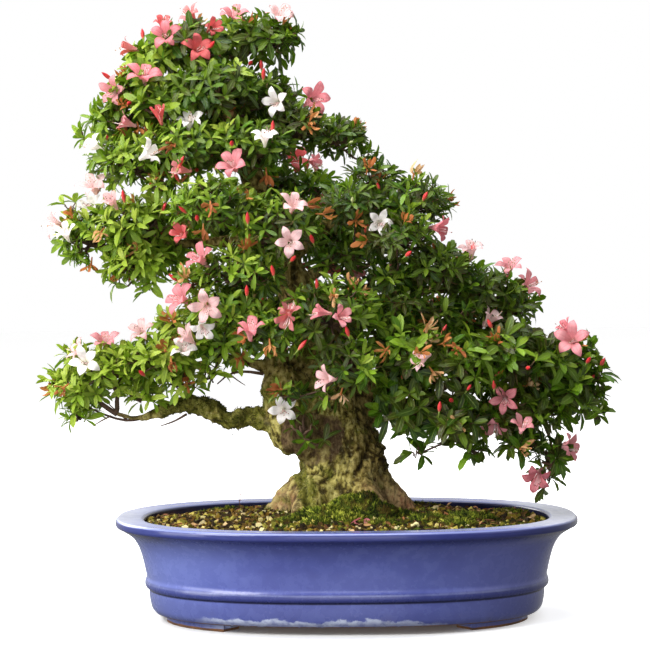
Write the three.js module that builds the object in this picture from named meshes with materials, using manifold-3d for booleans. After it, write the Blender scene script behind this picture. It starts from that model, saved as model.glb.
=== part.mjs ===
// A satsuki azalea bonsai in its oval glazed pot.
// Millimetres, +Z up. Everything is drawn round the pot's middle, with the pot's feet at z = 0 and the
// front towards -Y. At the end the whole tree is shifted so that the origin lies under the middle of
// its box.
import * as THREE from 'three';
import { mergeVertices } from 'three/addons/utils/BufferGeometryUtils.js';
import Module from 'manifold-3d';

const wasm = await Module();
wasm.setup();

// ---------------------------------------------------------------- driving dimensions

const clearance = 0.4; // left between neighbouring pieces

const pot = {
  rimHalfLength: 276,
  depthShortfall: 69, // the pot's half depth is this much less than its half length
  ovalPower: 2.4, // 2 is an ellipse, more is squarer
  sides: 30,
  rimTop: 121.8,
  floorTop: 22,
  footHeight: 8.5,
  footHalfLength: 219,
  footWidth: 26,
  drainSpread: 95, // the two drainage holes lie this far from the middle
  drainRadius: 14,
};

const screen = { size: 56, thickness: 1.5, holes: 2, bar: 5 };

// It lies lower under the rim at the back, by backDrop.
const soil = { edgeDrop: 8.5, moundHeight: 20, backDrop: 8, ripple: 1.4, gap: 0.7 };

const leaf = {
  count: 5, // leaves to a whorl
  reach: 10, // how far the leaves stand out of a bough's core
  whorlRadius: 31,
  standOff: 8,
  rootDepth: 20,
  spacing: 76, // between whorls, and by these shares of it within a bough, between boughs and to blooms
  withinBough: 0.86,
  betweenBoughs: 1.02,
  toBloom: 0.66,
  toWood: 16,
};

const bloom = {
  petalLength: 18.5,
  tubeRadius: 5.5,
  tubeLength: 21,
  standOff: 13,
  count: 5,
  turnToFront: 0.55, // how far it turns from the crown's skin towards whoever looks at it
  turnUp: 0.1,
};

// The crown's front blooms lie this side of y = front, and the back ones at least this far out.
const crownDepth = { front: 30, least: 10 };

// The place that the tree is shown to, level with the crown's lower half.
const frontEye = new THREE.Vector3(-24, -2640, 379);

const goldenAngle = Math.PI * (3 - Math.sqrt(5));

const colours = {
  glaze: 0x4b55a0,
  screen: 0x22262a,
  soil: 0x5a4a2c,
  bark: 0x8a7c5c,
  leaf: 0x4f7a2c,
  coral: 0xd95f5c,
  pink: 0xe58c94,
  pale: 0xf0bfc0,
  white: 0xf6f3ee,
};

// ---------------------------------------------------------------- tools for solids

// mulberry32: a small random generator with a fixed start
function randomFrom(seed) {
  let state = seed;
  return () => {
    state = (state + 0x6d2b79f5) | 0;
    let mixed = Math.imul(state ^ (state >>> 15), 1 | state);
    mixed = (mixed + Math.imul(mixed ^ (mixed >>> 7), 61 | mixed)) ^ mixed;
    return ((mixed ^ (mixed >>> 14)) >>> 0) / 4294967296;
  };
}

function solidFrom(points, faces) {
  const vertProperties = new Float32Array(points.flatMap((point) => [point.x, point.y, point.z]));
  const triVerts = new Uint32Array(faces.flat());
  return new wasm.Manifold(new wasm.Mesh({ numProp: 3, vertProperties, triVerts }));
}

function solidOf(geometry) {
  const bare = geometry.clone();
  bare.deleteAttribute('normal');
  bare.deleteAttribute('uv');
  const merged = mergeVertices(bare, 1e-4);
  const vertProperties = new Float32Array(merged.attributes.position.array);
  const triVerts = new Uint32Array(merged.index.array);
  return new wasm.Manifold(new wasm.Mesh({ numProp: 3, vertProperties, triVerts }));
}

function geometryOf(solid) {
  const mesh = solid.getMesh();
  const geometry = new THREE.BufferGeometry();
  geometry.setAttribute('position', new THREE.BufferAttribute(mesh.vertProperties, 3));
  geometry.setIndex(new THREE.BufferAttribute(mesh.triVerts, 1));
  return geometry;
}

function joined(solids) {
  return wasm.Manifold.union(solids);
}

// The one main body of a solid: loose scraps and sealed bubbles are dropped.
function mainBody(solid) {
  const bodies = solid.decompose();
  return bodies.reduce((largest, body) => (body.volume() > largest.volume() ? body : largest));
}

// A closed skin over rings of points, capped by a point at each end. Seen from its end the rings run
// anticlockwise.
function loft(rings, startPoint, endPoint) {
  const sides = rings[0].length;
  const points = [...rings.flat(), startPoint, endPoint];
  const start = points.length - 2;
  const end = points.length - 1;
  const lastRing = (rings.length - 1) * sides;
  const faces = [];
  for (let side = 0; side < sides; side += 1) {
    const next = (side + 1) % sides;
    faces.push([start, next, side]);
    faces.push([end, lastRing + side, lastRing + next]);
    for (let ring = 0; ring < rings.length - 1; ring += 1) {
      const low = ring * sides;
      const high = low + sides;
      faces.push([low + side, low + next, high + next]);
      faces.push([low + side, high + next, high + side]);
    }
  }
  return solidFrom(points, faces);
}

// ---------------------------------------------------------------- pot

function ovalPoint(halfLength, angle, z) {
  const halfDepth = halfLength - pot.depthShortfall;
  const cosine = Math.cos(angle);
  const sine = Math.sin(angle);
  const x = Math.sign(cosine) * Math.abs(cosine) ** (2 / pot.ovalPower) * halfLength;
  const y = Math.sign(sine) * Math.abs(sine) ** (2 / pot.ovalPower) * halfDepth;
  return new THREE.Vector3(x, y, z);
}

function ovalRing(halfLength, z) {
  const ring = [];
  for (let side = 0; side < pot.sides; side += 1) {
    ring.push(ovalPoint(halfLength, (side / pot.sides) * Math.PI * 2, z));
  }
  return ring;
}

// Half length and height down the inside, from under the lip.
const potInside = [
  [241, 119],
  [243, 100],
  [228, 40],
  [215, pot.floorTop],
];

// The same down the outside, over the lip and down the inside.
const potSection = [
  [229, pot.footHeight],
  [236, 22],
  [236.8, 37.5],
  [241.6, 41.5],
  [241.4, 48],
  [239.6, 53],
  [244, 73],
  [257, 101.5],
  [268, 108.5],
  [pot.rimHalfLength, 113.5],
  [pot.rimHalfLength, 119.5],
  [273.5, pot.rimTop],
  [244, pot.rimTop],
  ...potInside,
];

function footOutline(alongFrom, alongTo, outer, width, signX, signY) {
  const steps = 4;
  const edge = [];
  for (let step = 0; step <= steps; step += 1) {
    edge.push([outer, alongFrom + ((alongTo - alongFrom) * step) / steps]);
  }
  for (let step = steps; step >= 0; step -= 1) {
    edge.push([outer - width, alongFrom + ((alongTo - alongFrom) * step) / steps]);
  }
  return edge.map(([halfLength, angle]) => {
    const point = ovalPoint(halfLength, angle, 0);
    return new THREE.Vector2(point.x * signX, point.y * signY);
  });
}

// A cloud foot: the deep middle stands on the table, and a shallower step runs on at each end.
function footSolids(signX, signY) {
  const sunk = 3;
  const stepHeight = 4;
  const deep = new THREE.Shape(footOutline(0.25, 0.93, pot.footHalfLength, pot.footWidth, signX, signY));
  const step = new THREE.Shape(
    footOutline(0.2, 0.97, pot.footHalfLength - 2, pot.footWidth - 4, signX, signY),
  );
  const deepFoot = new THREE.ExtrudeGeometry(deep, {
    depth: pot.footHeight + sunk,
    bevelEnabled: false,
  });
  const stepFoot = new THREE.ExtrudeGeometry(step, {
    depth: pot.footHeight + sunk - stepHeight,
    bevelEnabled: false,
  }).translate(0, 0, stepHeight);
  return [solidOf(deepFoot), solidOf(stepFoot)];
}

function drainHole(side) {
  const hole = new THREE.CylinderGeometry(pot.drainRadius, pot.drainRadius, 60, 12);
  hole.rotateX(Math.PI / 2);
  hole.translate(side * pot.drainSpread, 0, 20);
  return solidOf(hole);
}

function makePot() {
  const rings = potSection.map(([halfLength, z]) => ovalRing(halfLength, z));
  const underside = new THREE.Vector3(0, 0, pot.footHeight);
  const floor = new THREE.Vector3(0, 0, pot.floorTop);
  const shell = loft(rings, underside, floor);
  const feet = [
    ...footSolids(1, 1),
    ...footSolids(1, -1),
    ...footSolids(-1, 1),
    ...footSolids(-1, -1),
  ];
  return joined([shell, ...feet]).subtract(joined([drainHole(-1), drainHole(1)]));
}

// A square of plastic mesh over a drainage hole: bars each way, fused where they cross.
function makeScreen(side) {
  const pitch = (screen.size - screen.bar) / screen.holes;
  const bars = [];
  for (let number = 0; number <= screen.holes; number += 1) {
    const offset = -(screen.size - screen.bar) / 2 + number * pitch;
    const lengthwise = new THREE.BoxGeometry(screen.size, screen.bar, screen.thickness);
    const crosswise = new THREE.BoxGeometry(screen.bar, screen.size, screen.thickness);
    bars.push(lengthwise.translate(0, offset, 0), crosswise.translate(offset, 0, 0));
  }
  const height = pot.floorTop + clearance + screen.thickness / 2;
  bars.forEach((bar) => bar.translate(side * pot.drainSpread, 0, height));
  return joined(bars.map(solidOf));
}

// ---------------------------------------------------------------- wood

// The roots that run from the flare down into the soil: [from x, from y, to x, to y, radius].
const roots = [
  [-40, -4, -106, -14, 26],
  [26, -4, 94, -12, 28],
  [-30, -34, -66, -94, 22],
  [16, -38, 46, -96, 22],
  [-30, 34, -66, 98, 22],
  [18, 36, 58, 96, 22],
];

function rootLimb([fromX, fromY, toX, toY, radius]) {
  const stages = [
    [0, 156, 1],
    [0.4, 137, 0.8],
    [0.74, 118, 0.6],
    [1, 100, 0.3],
  ];
  const course = stages.map(([share, z, slimness]) => [
    THREE.MathUtils.lerp(fromX, toX, share),
    THREE.MathUtils.lerp(fromY, toY, share),
    z,
    radius * slimness,
  ]);
  return { sides: 6, rings: 3, knob: 0.06, course };
}

// Each limb is a course of [x, y, z, radius], with its number of sides, its number of rings and how
// knobbly it is. The first is the trunk.
const limbs = [
  {
    sides: 9,
    rings: 16,
    knob: 0.05,
    course: [
      [-8, 0, 100, 68],
      [-8, 0, 134, 61],
      [-5, 0, 158, 52],
      [-5, 0, 181, 50],
      [-6, 2, 205, 48],
      [-9, 4, 229, 42],
      [-8, 6, 259, 38],
      [-6, 8, 289, 34],
      [-24, 10, 331, 28],
      [-54, 10, 379, 23],
      [-78, 5, 440, 19],
      [-100, 0, 500, 16],
      [-120, -8, 559, 13],
      [-138, -6, 619, 10],
      [-150, 0, 672, 7],
    ],
  },
  ...roots.map(rootLimb),
  // second trunk, on the left
  {
    sides: 8,
    rings: 9,
    knob: 0.07,
    course: [
      [-26, -12, 206, 26],
      [-60, -18, 222, 31],
      [-68, -20, 238, 29],
      [-70, -19, 257, 26],
      [-74, -17, 282, 24],
      [-80, -16, 306, 18],
      [-87, -14, 332, 12],
      [-99, -20, 362, 8],
      [-107, -24, 386, 5],
    ],
  },
  // wood that closes the fork between the two trunks
  {
    sides: 6,
    rings: 4,
    knob: 0.05,
    course: [
      [-36, -4, 236, 34],
      [-42, -2, 270, 30],
      [-48, 2, 300, 23],
      [-54, 6, 324, 14],
    ],
  },
  // long low branch to the left
  {
    sides: 7,
    rings: 13,
    knob: 0.13,
    course: [
      [-60, -20, 228, 18],
      [-90, -20, 237, 13],
      [-113, -20, 239, 12],
      [-127, -20, 237, 13],
      [-143, -18, 239, 11.5],
      [-156, -16, 245, 12.5],
      [-168, -14, 251, 11],
      [-195, -10, 254, 11],
      [-212, -8, 250, 10],
      [-231, -10, 243, 6],
      [-251, -14, 240, 4],
      [-276, -18, 246, 3.4],
      [-300, -20, 262, 2.6],
    ],
  },
  // branch above it
  {
    sides: 5,
    rings: 4,
    knob: 0.1,
    course: [
      [-81, -16, 294, 12],
      [-99, -18, 301, 8],
      [-130, -28, 311, 5],
      [-170, -36, 318, 4],
      [-196, -38, 318, 3],
    ],
  },
  // right branches, from the lowest up
  {
    sides: 7,
    rings: 7,
    knob: 0.09,
    course: [
      [2, 2, 236, 26],
      [25, 0, 259, 21],
      [42, -4, 276, 17],
      [68, -10, 290, 14],
      [104, -14, 299, 12],
      [149, -14, 304, 9],
      [197, -14, 298, 7],
      [222, -16, 290, 5],
    ],
  },
  {
    sides: 5,
    rings: 6,
    knob: 0.05,
    course: [
      [190, -11, 300, 6],
      [218, -35, 262, 4.5],
      [240, -50, 215, 3],
      [243, -55, 190, 2.2],
    ],
  },
  {
    sides: 5,
    rings: 3,
    knob: 0.09,
    course: [
      [-18, 10, 316, 20],
      [8, 0, 350, 13],
      [39, -8, 372, 10],
      [78, -12, 388, 8],
      [146, -18, 392, 5],
    ],
  },
  {
    sides: 5,
    rings: 3,
    knob: 0.09,
    course: [
      [-73, 6, 425, 12],
      [-32, 4, 461, 9],
      [8, 0, 482, 7],
      [56, -14, 490, 4.5],
    ],
  },
  {
    sides: 4,
    rings: 3,
    knob: 0.08,
    course: [
      [-111, -4, 538, 9],
      [-76, -2, 564, 6.5],
      [-40, -6, 578, 4.5],
    ],
  },
  // left branches, from the lowest up
  {
    sides: 5,
    rings: 3,
    knob: 0.09,
    course: [
      [-78, 4, 440, 12],
      [-121, 0, 450, 9],
      [-169, -10, 448, 7],
      [-236, -14, 446, 4.5],
    ],
  },
  {
    sides: 4,
    rings: 3,
    knob: 0.08,
    course: [
      [-111, -4, 538, 9],
      [-157, -18, 545, 7],
      [-216, -24, 542, 4.5],
    ],
  },
  {
    sides: 4,
    rings: 3,
    knob: 0.08,
    course: [
      [-133, -6, 600, 8],
      [-178, -12, 612, 5.5],
      [-220, -14, 616, 4],
    ],
  },
  // branches towards the front
  {
    sides: 4,
    rings: 3,
    knob: 0.08,
    course: [
      [-36, 10, 352, 13],
      [-60, -50, 356, 8],
      [-88, -95, 350, 5],
      [-110, -112, 356, 3],
    ],
  },
  {
    sides: 4,
    rings: 3,
    knob: 0.08,
    course: [
      [-78, 5, 440, 12],
      [-92, -50, 444, 8],
      [-104, -92, 446, 5],
      [-112, -108, 440, 3],
    ],
  },
  {
    sides: 4,
    rings: 3,
    knob: 0.08,
    course: [
      [-6, 6, 300, 14],
      [2, -50, 322, 8],
      [4, -90, 332, 5],
      [4, -108, 330, 3],
    ],
  },
  {
    sides: 4,
    rings: 3,
    knob: 0.08,
    course: [
      [60, -8, 288, 11],
      [84, -48, 290, 7],
      [104, -78, 284, 5],
      [112, -92, 276, 3],
    ],
  },
  {
    sides: 5,
    rings: 4,
    knob: 0.05,
    course: [
      [-110, -6, 545, 7],
      [-128, -38, 552, 5],
      [-146, -62, 558, 3],
    ],
  },
  // twig to the spray in front of the trunk
  {
    sides: 4,
    rings: 3,
    knob: 0,
    course: [
      [-40, -28, 212, 4],
      [-46, -48, 219, 3],
      [-52, -68, 230, 2],
    ],
  },
  // branches towards the back
  {
    sides: 4,
    rings: 3,
    knob: 0.08,
    course: [
      [-120, -6, 560, 9],
      [-130, 30, 580, 7],
      [-146, 60, 602, 5],
      [-156, 74, 618, 3],
    ],
  },
  {
    sides: 4,
    rings: 3,
    knob: 0.08,
    course: [
      [-88, 2, 468, 12],
      [-100, 60, 476, 8],
      [-120, 110, 470, 6],
      [-130, 140, 464, 3],
    ],
  },
  {
    sides: 4,
    rings: 3,
    knob: 0.08,
    course: [
      [-60, 8, 392, 12],
      [-36, 70, 412, 8],
      [-20, 120, 420, 5],
      [-10, 140, 424, 3],
    ],
  },
  {
    sides: 4,
    rings: 3,
    knob: 0.08,
    course: [
      [-14, 8, 310, 14],
      [-36, 70, 330, 9],
      [-58, 126, 340, 6],
      [-66, 156, 344, 3],
    ],
  },
  {
    sides: 4,
    rings: 3,
    knob: 0.08,
    course: [
      [42, -4, 276, 13],
      [76, 44, 302, 8],
      [104, 76, 314, 5],
      [124, 92, 316, 3],
    ],
  },
];

// The rings of points round a limb's course.
function limbRings(limb, extra) {
  const course = limb.course.map(([x, y, z]) => new THREE.Vector3(x, y, z));
  const curve = new THREE.CatmullRomCurve3(course, false, 'centripetal');
  const spans = limb.course.length - 1;
  const side = new THREE.Vector3(0, 1, 0);
  const rings = [];
  for (let ring = 0; ring <= limb.rings; ring += 1) {
    const t = ring / limb.rings;
    const centre = curve.getPoint(t);
    const along = curve.getTangent(t);
    side.addScaledVector(along, -side.dot(along)).normalize();
    const across = new THREE.Vector3().crossVectors(along, side);
    const span = Math.min(Math.floor(t * spans), spans - 1);
    const share = THREE.MathUtils.smoothstep(t * spans - span, 0, 1);
    const radius = THREE.MathUtils.lerp(limb.course[span][3], limb.course[span + 1][3], share);
    const points = [];
    for (let corner = 0; corner < limb.sides; corner += 1) {
      const angle = (corner / limb.sides) * Math.PI * 2;
      const lump = Math.sin(3 * angle + ring * 0.7) + 0.7 * Math.sin(2 * angle - ring * 1.9);
      const reach = radius * (1 + limb.knob * lump) + extra;
      const point = centre.clone();
      point.addScaledVector(side, Math.cos(angle) * reach);
      point.addScaledVector(across, Math.sin(angle) * reach);
      points.push(point);
    }
    rings.push({ points, centre, along, radius });
  }
  return rings;
}

function limbSolid(limb, extra) {
  const rings = limbRings(limb, extra);
  const first = rings[0];
  const last = rings[rings.length - 1];
  const startPoint = first.centre.clone().addScaledVector(first.along, -0.3 * first.radius - 2 * extra);
  const endPoint = last.centre.clone().addScaledVector(last.along, 0.6 * last.radius + 2 * extra);
  return loft(rings.map((ring) => ring.points), startPoint, endPoint);
}

// Points down the middle of every limb, to keep leaves and blooms off the wood.
const woodAxis = limbs.flatMap((limb) => limbRings(limb, 0));

function woodSolid(extra) {
  return joined(limbs.map((limb) => limbSolid(limb, extra)));
}

// ---------------------------------------------------------------- soil

function soilHeight(point) {
  const halfDepth = pot.rimHalfLength - pot.depthShortfall;
  const across = Math.hypot(point.x / pot.rimHalfLength, point.y / halfDepth);
  const mound = Math.max(0, 1 - across * across) ** 1.2;
  const ripple = Math.sin(point.x * 0.061) * Math.cos(point.y * 0.083 + point.x * 0.02);
  const drop = soil.edgeDrop + soil.backDrop * Math.max(0, point.y / halfDepth);
  return pot.rimTop - drop + soil.moundHeight * mound + soil.ripple * ripple;
}

function makeSoil(woodAndGap) {
  const [neck, belly, heel, foot] = potInside;
  const edgeHeight = pot.rimTop - soil.edgeDrop;
  const edge = THREE.MathUtils.mapLinear(edgeHeight, belly[1], neck[1], belly[0], neck[0]) - soil.gap;
  const rings = [
    ovalRing(foot[0] - soil.gap, pot.floorTop + clearance),
    ovalRing(heel[0] - soil.gap, heel[1]),
    ovalRing(belly[0] - soil.gap, belly[1]),
  ];
  for (const share of [1, 0.8, 0.56, 0.3]) {
    const ring = ovalRing(edge, 0);
    ring.forEach((point) => {
      point.multiplyScalar(share);
      point.z = soilHeight(point);
    });
    rings.push(ring);
  }
  const bottom = new THREE.Vector3(0, 0, pot.floorTop + clearance);
  const top = new THREE.Vector3(0, 0, soilHeight(new THREE.Vector3()));
  const mound = loft(rings, bottom, top);
  const pockets = [-1, 1].map((side) => {
    const room = screen.size + 2 * clearance;
    const pocket = new THREE.BoxGeometry(room, room, 2 * (screen.thickness + 2 * clearance));
    pocket.translate(side * pot.drainSpread, 0, pot.floorTop);
    return solidOf(pocket);
  });
  return mainBody(mound.subtract(joined([woodAndGap, ...pockets])));
}

// ---------------------------------------------------------------- boughs

// Every leafy bough is a few rounded lumps [x, y, z, half length, half depth, half height], measured
// out to its leaf tips.
const boughs = {
  apex: [
    [-180, -5, 688, 54, 52, 32],
    [-102, 0, 690, 60, 52, 36],
    [-218, -8, 668, 42, 42, 32],
  ],
  upper_left: [
    [-232, -18, 636, 48, 54, 36],
    [-262, -4, 598, 50, 48, 38],
    [-212, -48, 606, 48, 42, 36],
  ],
  upper_middle: [
    [-150, -46, 628, 60, 50, 40],
    [-95, -10, 622, 48, 55, 36],
  ],
  upper_right: [
    [-58, -22, 586, 48, 52, 38],
    [-10, -12, 574, 44, 46, 30],
  ],
  middle_left: [
    [-252, -28, 546, 58, 60, 40],
    [-182, -66, 556, 62, 52, 42],
    [-110, -66, 556, 56, 50, 38],
  ],
  left_wing: [
    [-302, -8, 456, 50, 54, 40],
    [-246, -36, 470, 58, 56, 40],
    [-240, -14, 426, 58, 64, 34],
    [-232, 36, 450, 54, 50, 38],
  ],
  centre: [
    [-150, -110, 486, 58, 48, 44],
    [-75, -105, 462, 60, 48, 50],
    [-120, -120, 414, 56, 44, 40],
  ],
  right_shoulder: [
    [12, -66, 488, 50, 60, 40],
    [74, -46, 494, 60, 56, 38],
    [60, -90, 452, 52, 50, 38],
  ],
  right_middle: [
    [110, -60, 412, 52, 56, 38],
    [162, -30, 390, 50, 56, 38],
    [200, -8, 370, 38, 46, 32],
  ],
  low_centre: [
    [-145, -110, 368, 52, 48, 38],
    [-85, -120, 344, 52, 46, 38],
    [-18, -112, 362, 62, 50, 48],
    [6, -112, 308, 50, 46, 42],
  ],
  low_right: [
    [75, -90, 318, 54, 56, 40],
    [70, -80, 260, 48, 50, 42],
    [135, -90, 298, 54, 56, 48],
    [128, -80, 236, 48, 52, 34],
  ],
  low_right_end: [
    [198, -60, 312, 50, 56, 50],
    [204, -54, 246, 56, 52, 44],
    [256, -30, 308, 52, 54, 36],
    [264, -26, 264, 54, 52, 38],
  ],
  hanging_spray: [[243, -52, 190, 26, 26, 32]],
  trunk_spray: [[-52, -68, 230, 27, 24, 32]],
  low_left: [
    [-318, -10, 276, 44, 44, 34],
    [-280, -28, 298, 50, 50, 36],
    [-220, -38, 312, 56, 54, 36],
    [-240, 20, 296, 48, 44, 32],
    [-150, -44, 332, 58, 50, 38],
  ],
  back_upper: [
    [-165, 66, 640, 58, 50, 44],
    [-112, 74, 598, 64, 54, 48],
    [-186, 64, 576, 64, 54, 46],
  ],
  back_middle: [
    [-60, 114, 510, 62, 56, 46],
    [-156, 112, 482, 70, 60, 48],
    [-88, 136, 456, 72, 60, 54],
    [10, 110, 458, 66, 58, 46],
  ],
  back_low: [
    [-120, 140, 366, 62, 56, 44],
    [-36, 154, 356, 70, 58, 48],
    [40, 128, 378, 64, 60, 44],
  ],
  back_right: [
    [104, 84, 326, 58, 58, 46],
    [176, 52, 304, 56, 54, 42],
    [238, 42, 292, 44, 44, 34],
  ],
};

const lumps = Object.entries(boughs).flatMap(([bough, list]) =>
  list.map(([x, y, z, halfLength, halfDepth, halfHeight]) => ({
    bough,
    centre: new THREE.Vector3(x, y, z),
    full: new THREE.Vector3(halfLength, halfDepth, halfHeight),
    core: new THREE.Vector3(halfLength, halfDepth, halfHeight).subScalar(leaf.reach),
  })),
);

// How far a point lies out from a lump's centre: 1 is on the skin of its core.
function depthIn(lump, point, extra) {
  const x = (point.x - lump.centre.x) / (lump.core.x + extra);
  const y = (point.y - lump.centre.y) / (lump.core.y + extra);
  const z = (point.z - lump.centre.z) / (lump.core.z + extra);
  return Math.hypot(x, y, z);
}

function skinNormal(lump, point) {
  const normal = point.clone().sub(lump.centre);
  normal.divide(lump.core);
  normal.divide(lump.core);
  return normal.normalize();
}

function lumpSolid(lump, extra) {
  const ball = new THREE.IcosahedronGeometry(1.14, 0);
  ball.rotateX(lump.centre.x);
  ball.rotateZ(lump.centre.z);
  const size = lump.core.clone().addScalar(extra);
  ball.scale(size.x, size.y, size.z);
  ball.translate(lump.centre.x, lump.centre.y, lump.centre.z);
  return solidOf(ball);
}

// Where the line from a point first meets the crown.
function crownHit(from, towards) {
  let nearest = null;
  for (const lump of lumps) {
    const start = from.clone().sub(lump.centre).divide(lump.core);
    const step = towards.clone().divide(lump.core);
    const a = step.dot(step);
    const b = start.dot(step);
    const c = start.dot(start) - 1;
    const root = b * b - a * c;
    if (root > 0) {
      const distance = (-b - Math.sqrt(root)) / a;
      if (!nearest || distance < nearest.distance) {
        nearest = { lump, distance, point: from.clone().addScaledVector(towards, distance) };
      }
    }
  }
  return nearest;
}

// The point of the crown's skin that lies nearest to a line that passes the crown by.
function crownEdge(from, towards) {
  let nearest = null;
  for (const lump of lumps) {
    const along = lump.centre.clone().sub(from).dot(towards);
    const passing = from.clone().addScaledVector(towards, along);
    const out = depthIn(lump, passing, 0);
    if (!nearest || out < nearest.out) {
      const point = passing.clone().sub(lump.centre).divideScalar(out).add(lump.centre);
      nearest = { lump, out, point };
    }
  }
  return nearest;
}

// ---------------------------------------------------------------- stars: whorls of leaves, and blooms

// The point at a radius, an angle and a height in the frame of a star.
function starPoint(centre, axis, radius, angle, height) {
  const side = new THREE.Vector3(0.31, 0.27, 0.91).cross(axis).normalize();
  const across = new THREE.Vector3().crossVectors(axis, side);
  const point = centre.clone().addScaledVector(axis, height);
  point.addScaledVector(side, Math.cos(angle) * radius);
  return point.addScaledVector(across, Math.sin(angle) * radius);
}

// A star of blades round an axis on one root. Each blade runs from the waist to its two shoulders and its
// tip, and is thickest at the waist. Given extra, the star is thickened by it, and by more above.
function starSolid(shape, centre, axis, spin, extra) {
  const place = (radius, turn, height) => starPoint(centre, axis, radius, spin + turn, height);
  const corners = 4;
  const size = shape.count * corners;
  const widen = extra * 1.8;
  const pitch = (Math.PI * 2) / shape.count;
  const shoulder = (shape.halfWidth + widen) / shape.shoulderRadius;
  const upper = [];
  const under = [];
  for (let blade = 0; blade < shape.count; blade += 1) {
    const turn = blade * pitch;
    const sway = shape.sway * Math.sin(blade * 2.4 + spin);
    const outline = [
      [shape.waistRadius + widen, turn - pitch / 2, shape.waistHeight, shape.thickness],
      [shape.shoulderRadius, turn - shoulder, shape.shoulderHeight + sway * 0.5, 0],
      [shape.tipRadius + widen, turn, shape.tipHeight + sway, 0],
      [shape.shoulderRadius, turn + shoulder, shape.shoulderHeight + sway * 0.5, 0],
    ];
    outline.forEach(([radius, angle, height, thickness]) => {
      upper.push(place(radius, angle, height + 4 * extra));
      under.push(place(radius, angle, height - thickness - extra));
    });
  }
  const throat = 2 * size;
  const root = throat + 1;
  const points = [...upper, ...under];
  points.push(place(0, 0, shape.throatHeight + 6 * extra), place(0, 0, -shape.rootDepth - 4 * extra));
  // where the star isn't thickened, the under side shares its shoulders and tips with the upper side
  const below = (corner) => (extra > 0 || corner % corners === 0 ? corner + size : corner);
  const faces = [];
  for (let blade = 0; blade < shape.count; blade += 1) {
    const first = blade * corners;
    const rim = [first, first + 1, first + 2, first + 3, (first + corners) % size];
    const low = rim.map(below);
    faces.push([rim[0], rim[1], rim[2]], [rim[0], rim[2], rim[4]], [rim[4], rim[2], rim[3]]);
    faces.push([low[2], low[1], low[0]], [low[4], low[2], low[0]], [low[3], low[2], low[4]]);
    faces.push([throat, rim[0], rim[4]], [root, low[4], low[0]]);
    for (let corner = 0; corner < corners; corner += 1) {
      faces.push([low[corner], low[corner + 1], rim[corner + 1]]);
      faces.push([low[corner], rim[corner + 1], rim[corner]]);
    }
  }
  return solidFrom(points, faces.filter((face) => new Set(face).size === 3));
}

const whorlShape = {
  count: leaf.count,
  waistRadius: 3,
  waistHeight: 0,
  shoulderRadius: 15,
  shoulderHeight: 4,
  halfWidth: 5.2,
  tipRadius: leaf.whorlRadius,
  tipHeight: 9,
  thickness: 2.6,
  throatHeight: 1,
  rootDepth: leaf.rootDepth,
  sway: 3,
};

const bloomShape = {
  count: bloom.count,
  waistRadius: bloom.tubeRadius,
  waistHeight: -3,
  shoulderRadius: 12,
  shoulderHeight: 0.5,
  halfWidth: 4.6,
  tipRadius: bloom.petalLength,
  tipHeight: -0.5,
  thickness: 2,
  throatHeight: -10,
  rootDepth: bloom.tubeLength,
  sway: 1.5,
};

// ---------------------------------------------------------------- blooms

// Blooms that face the front, [x, z, colour, true where it is a node of its own], placed as they are
// seen from the front in the plane through the pot's middle.
const frontBlooms = [
  [-186, 721, 'coral', true],
  [-143, 726, 'pink', true],
  [-77, 715, 'pale', true],
  [-208, 696, 'pink', true],
  [-174, 687, 'coral', false],
  [-253, 678, 'coral', true],
  [-238, 649, 'pink', true],
  [-275, 622, 'pink', true],
  [-190, 601, 'white', true],
  [-85, 620, 'white', true],
  [-32, 618, 'pink', true],
  [-220, 606, 'coral', false],
  [-294, 530, 'pale', true],
  [-226, 559, 'white', false],
  [-132, 550, 'pink', true],
  [-58, 545, 'coral', true],
  [-97, 573, 'white', false],
  [-342, 468, 'pale', true],
  [-167, 428, 'pink', true],
  [-67, 453, 'pale', true],
  [37, 478, 'white', true],
  [12, 420, 'coral', false],
  [110, 462, 'pink', false],
  [148, 434, 'pale', true],
  [194, 412, 'pink', true],
  [223, 394, 'pink', false],
  [-203, 382, 'pink', true],
  [-164, 371, 'pale', true],
  [-110, 346, 'pink', true],
  [-73, 353, 'coral', false],
  [-66, 241, 'white', true],
  [-19, 290, 'pale', true],
  [270, 323, 'pink', true],
  [193, 255, 'pink', true],
  [262, 197, 'pink', true],
  [-290, 335, 'pink', true],
  [-323, 316, 'pale', false],
  [-188, 326, 'white', true],
  [-5, 361, 'pink', false],
  [174, 367, 'pale', false],
  [72, 365, 'pink', false],
  [-295, 561, 'white', false],
  [-245, 337, 'pale', false],
  [212, 232, 'pink', false],
  [-308, 304, 'white', false],
  [-275, 492, 'pale', false],
  [-65, 598, 'coral', false],
  [-62, 491, 'pale', false],
  [-191, 469, 'coral', false],
  [5, 458, 'pink', false],
  [88, 310, 'pale', false],
  [160, 258, 'pale', false],
  [229, 154, 'pink', false],
  [266, 355, 'pink', false],
];

// Blooms that the front hides, by a rule: rows of [height, the crown's middle there, how many], each
// bloom a golden angle on from the last, within the half turn that faces the back.
const backRows = [
  [670, -150, 2],
  [610, -150, 2],
  [545, -150, 3],
  [475, -130, 3],
  [410, -40, 3],
  [340, 0, 3],
  [285, 60, 2],
];

function bloomFromFront([x, z, colour, own]) {
  const towards = new THREE.Vector3(x, 0, z).sub(frontEye).normalize();
  const seen = crownHit(frontEye, towards);
  const hit = seen && seen.point.y < crownDepth.front ? seen : crownEdge(frontEye, towards);
  const axis = skinNormal(hit.lump, hit.point).addScaledVector(towards, -bloom.turnToFront);
  axis.z += bloom.turnUp;
  axis.normalize();
  return { hit, axis, colour, own };
}

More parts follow.
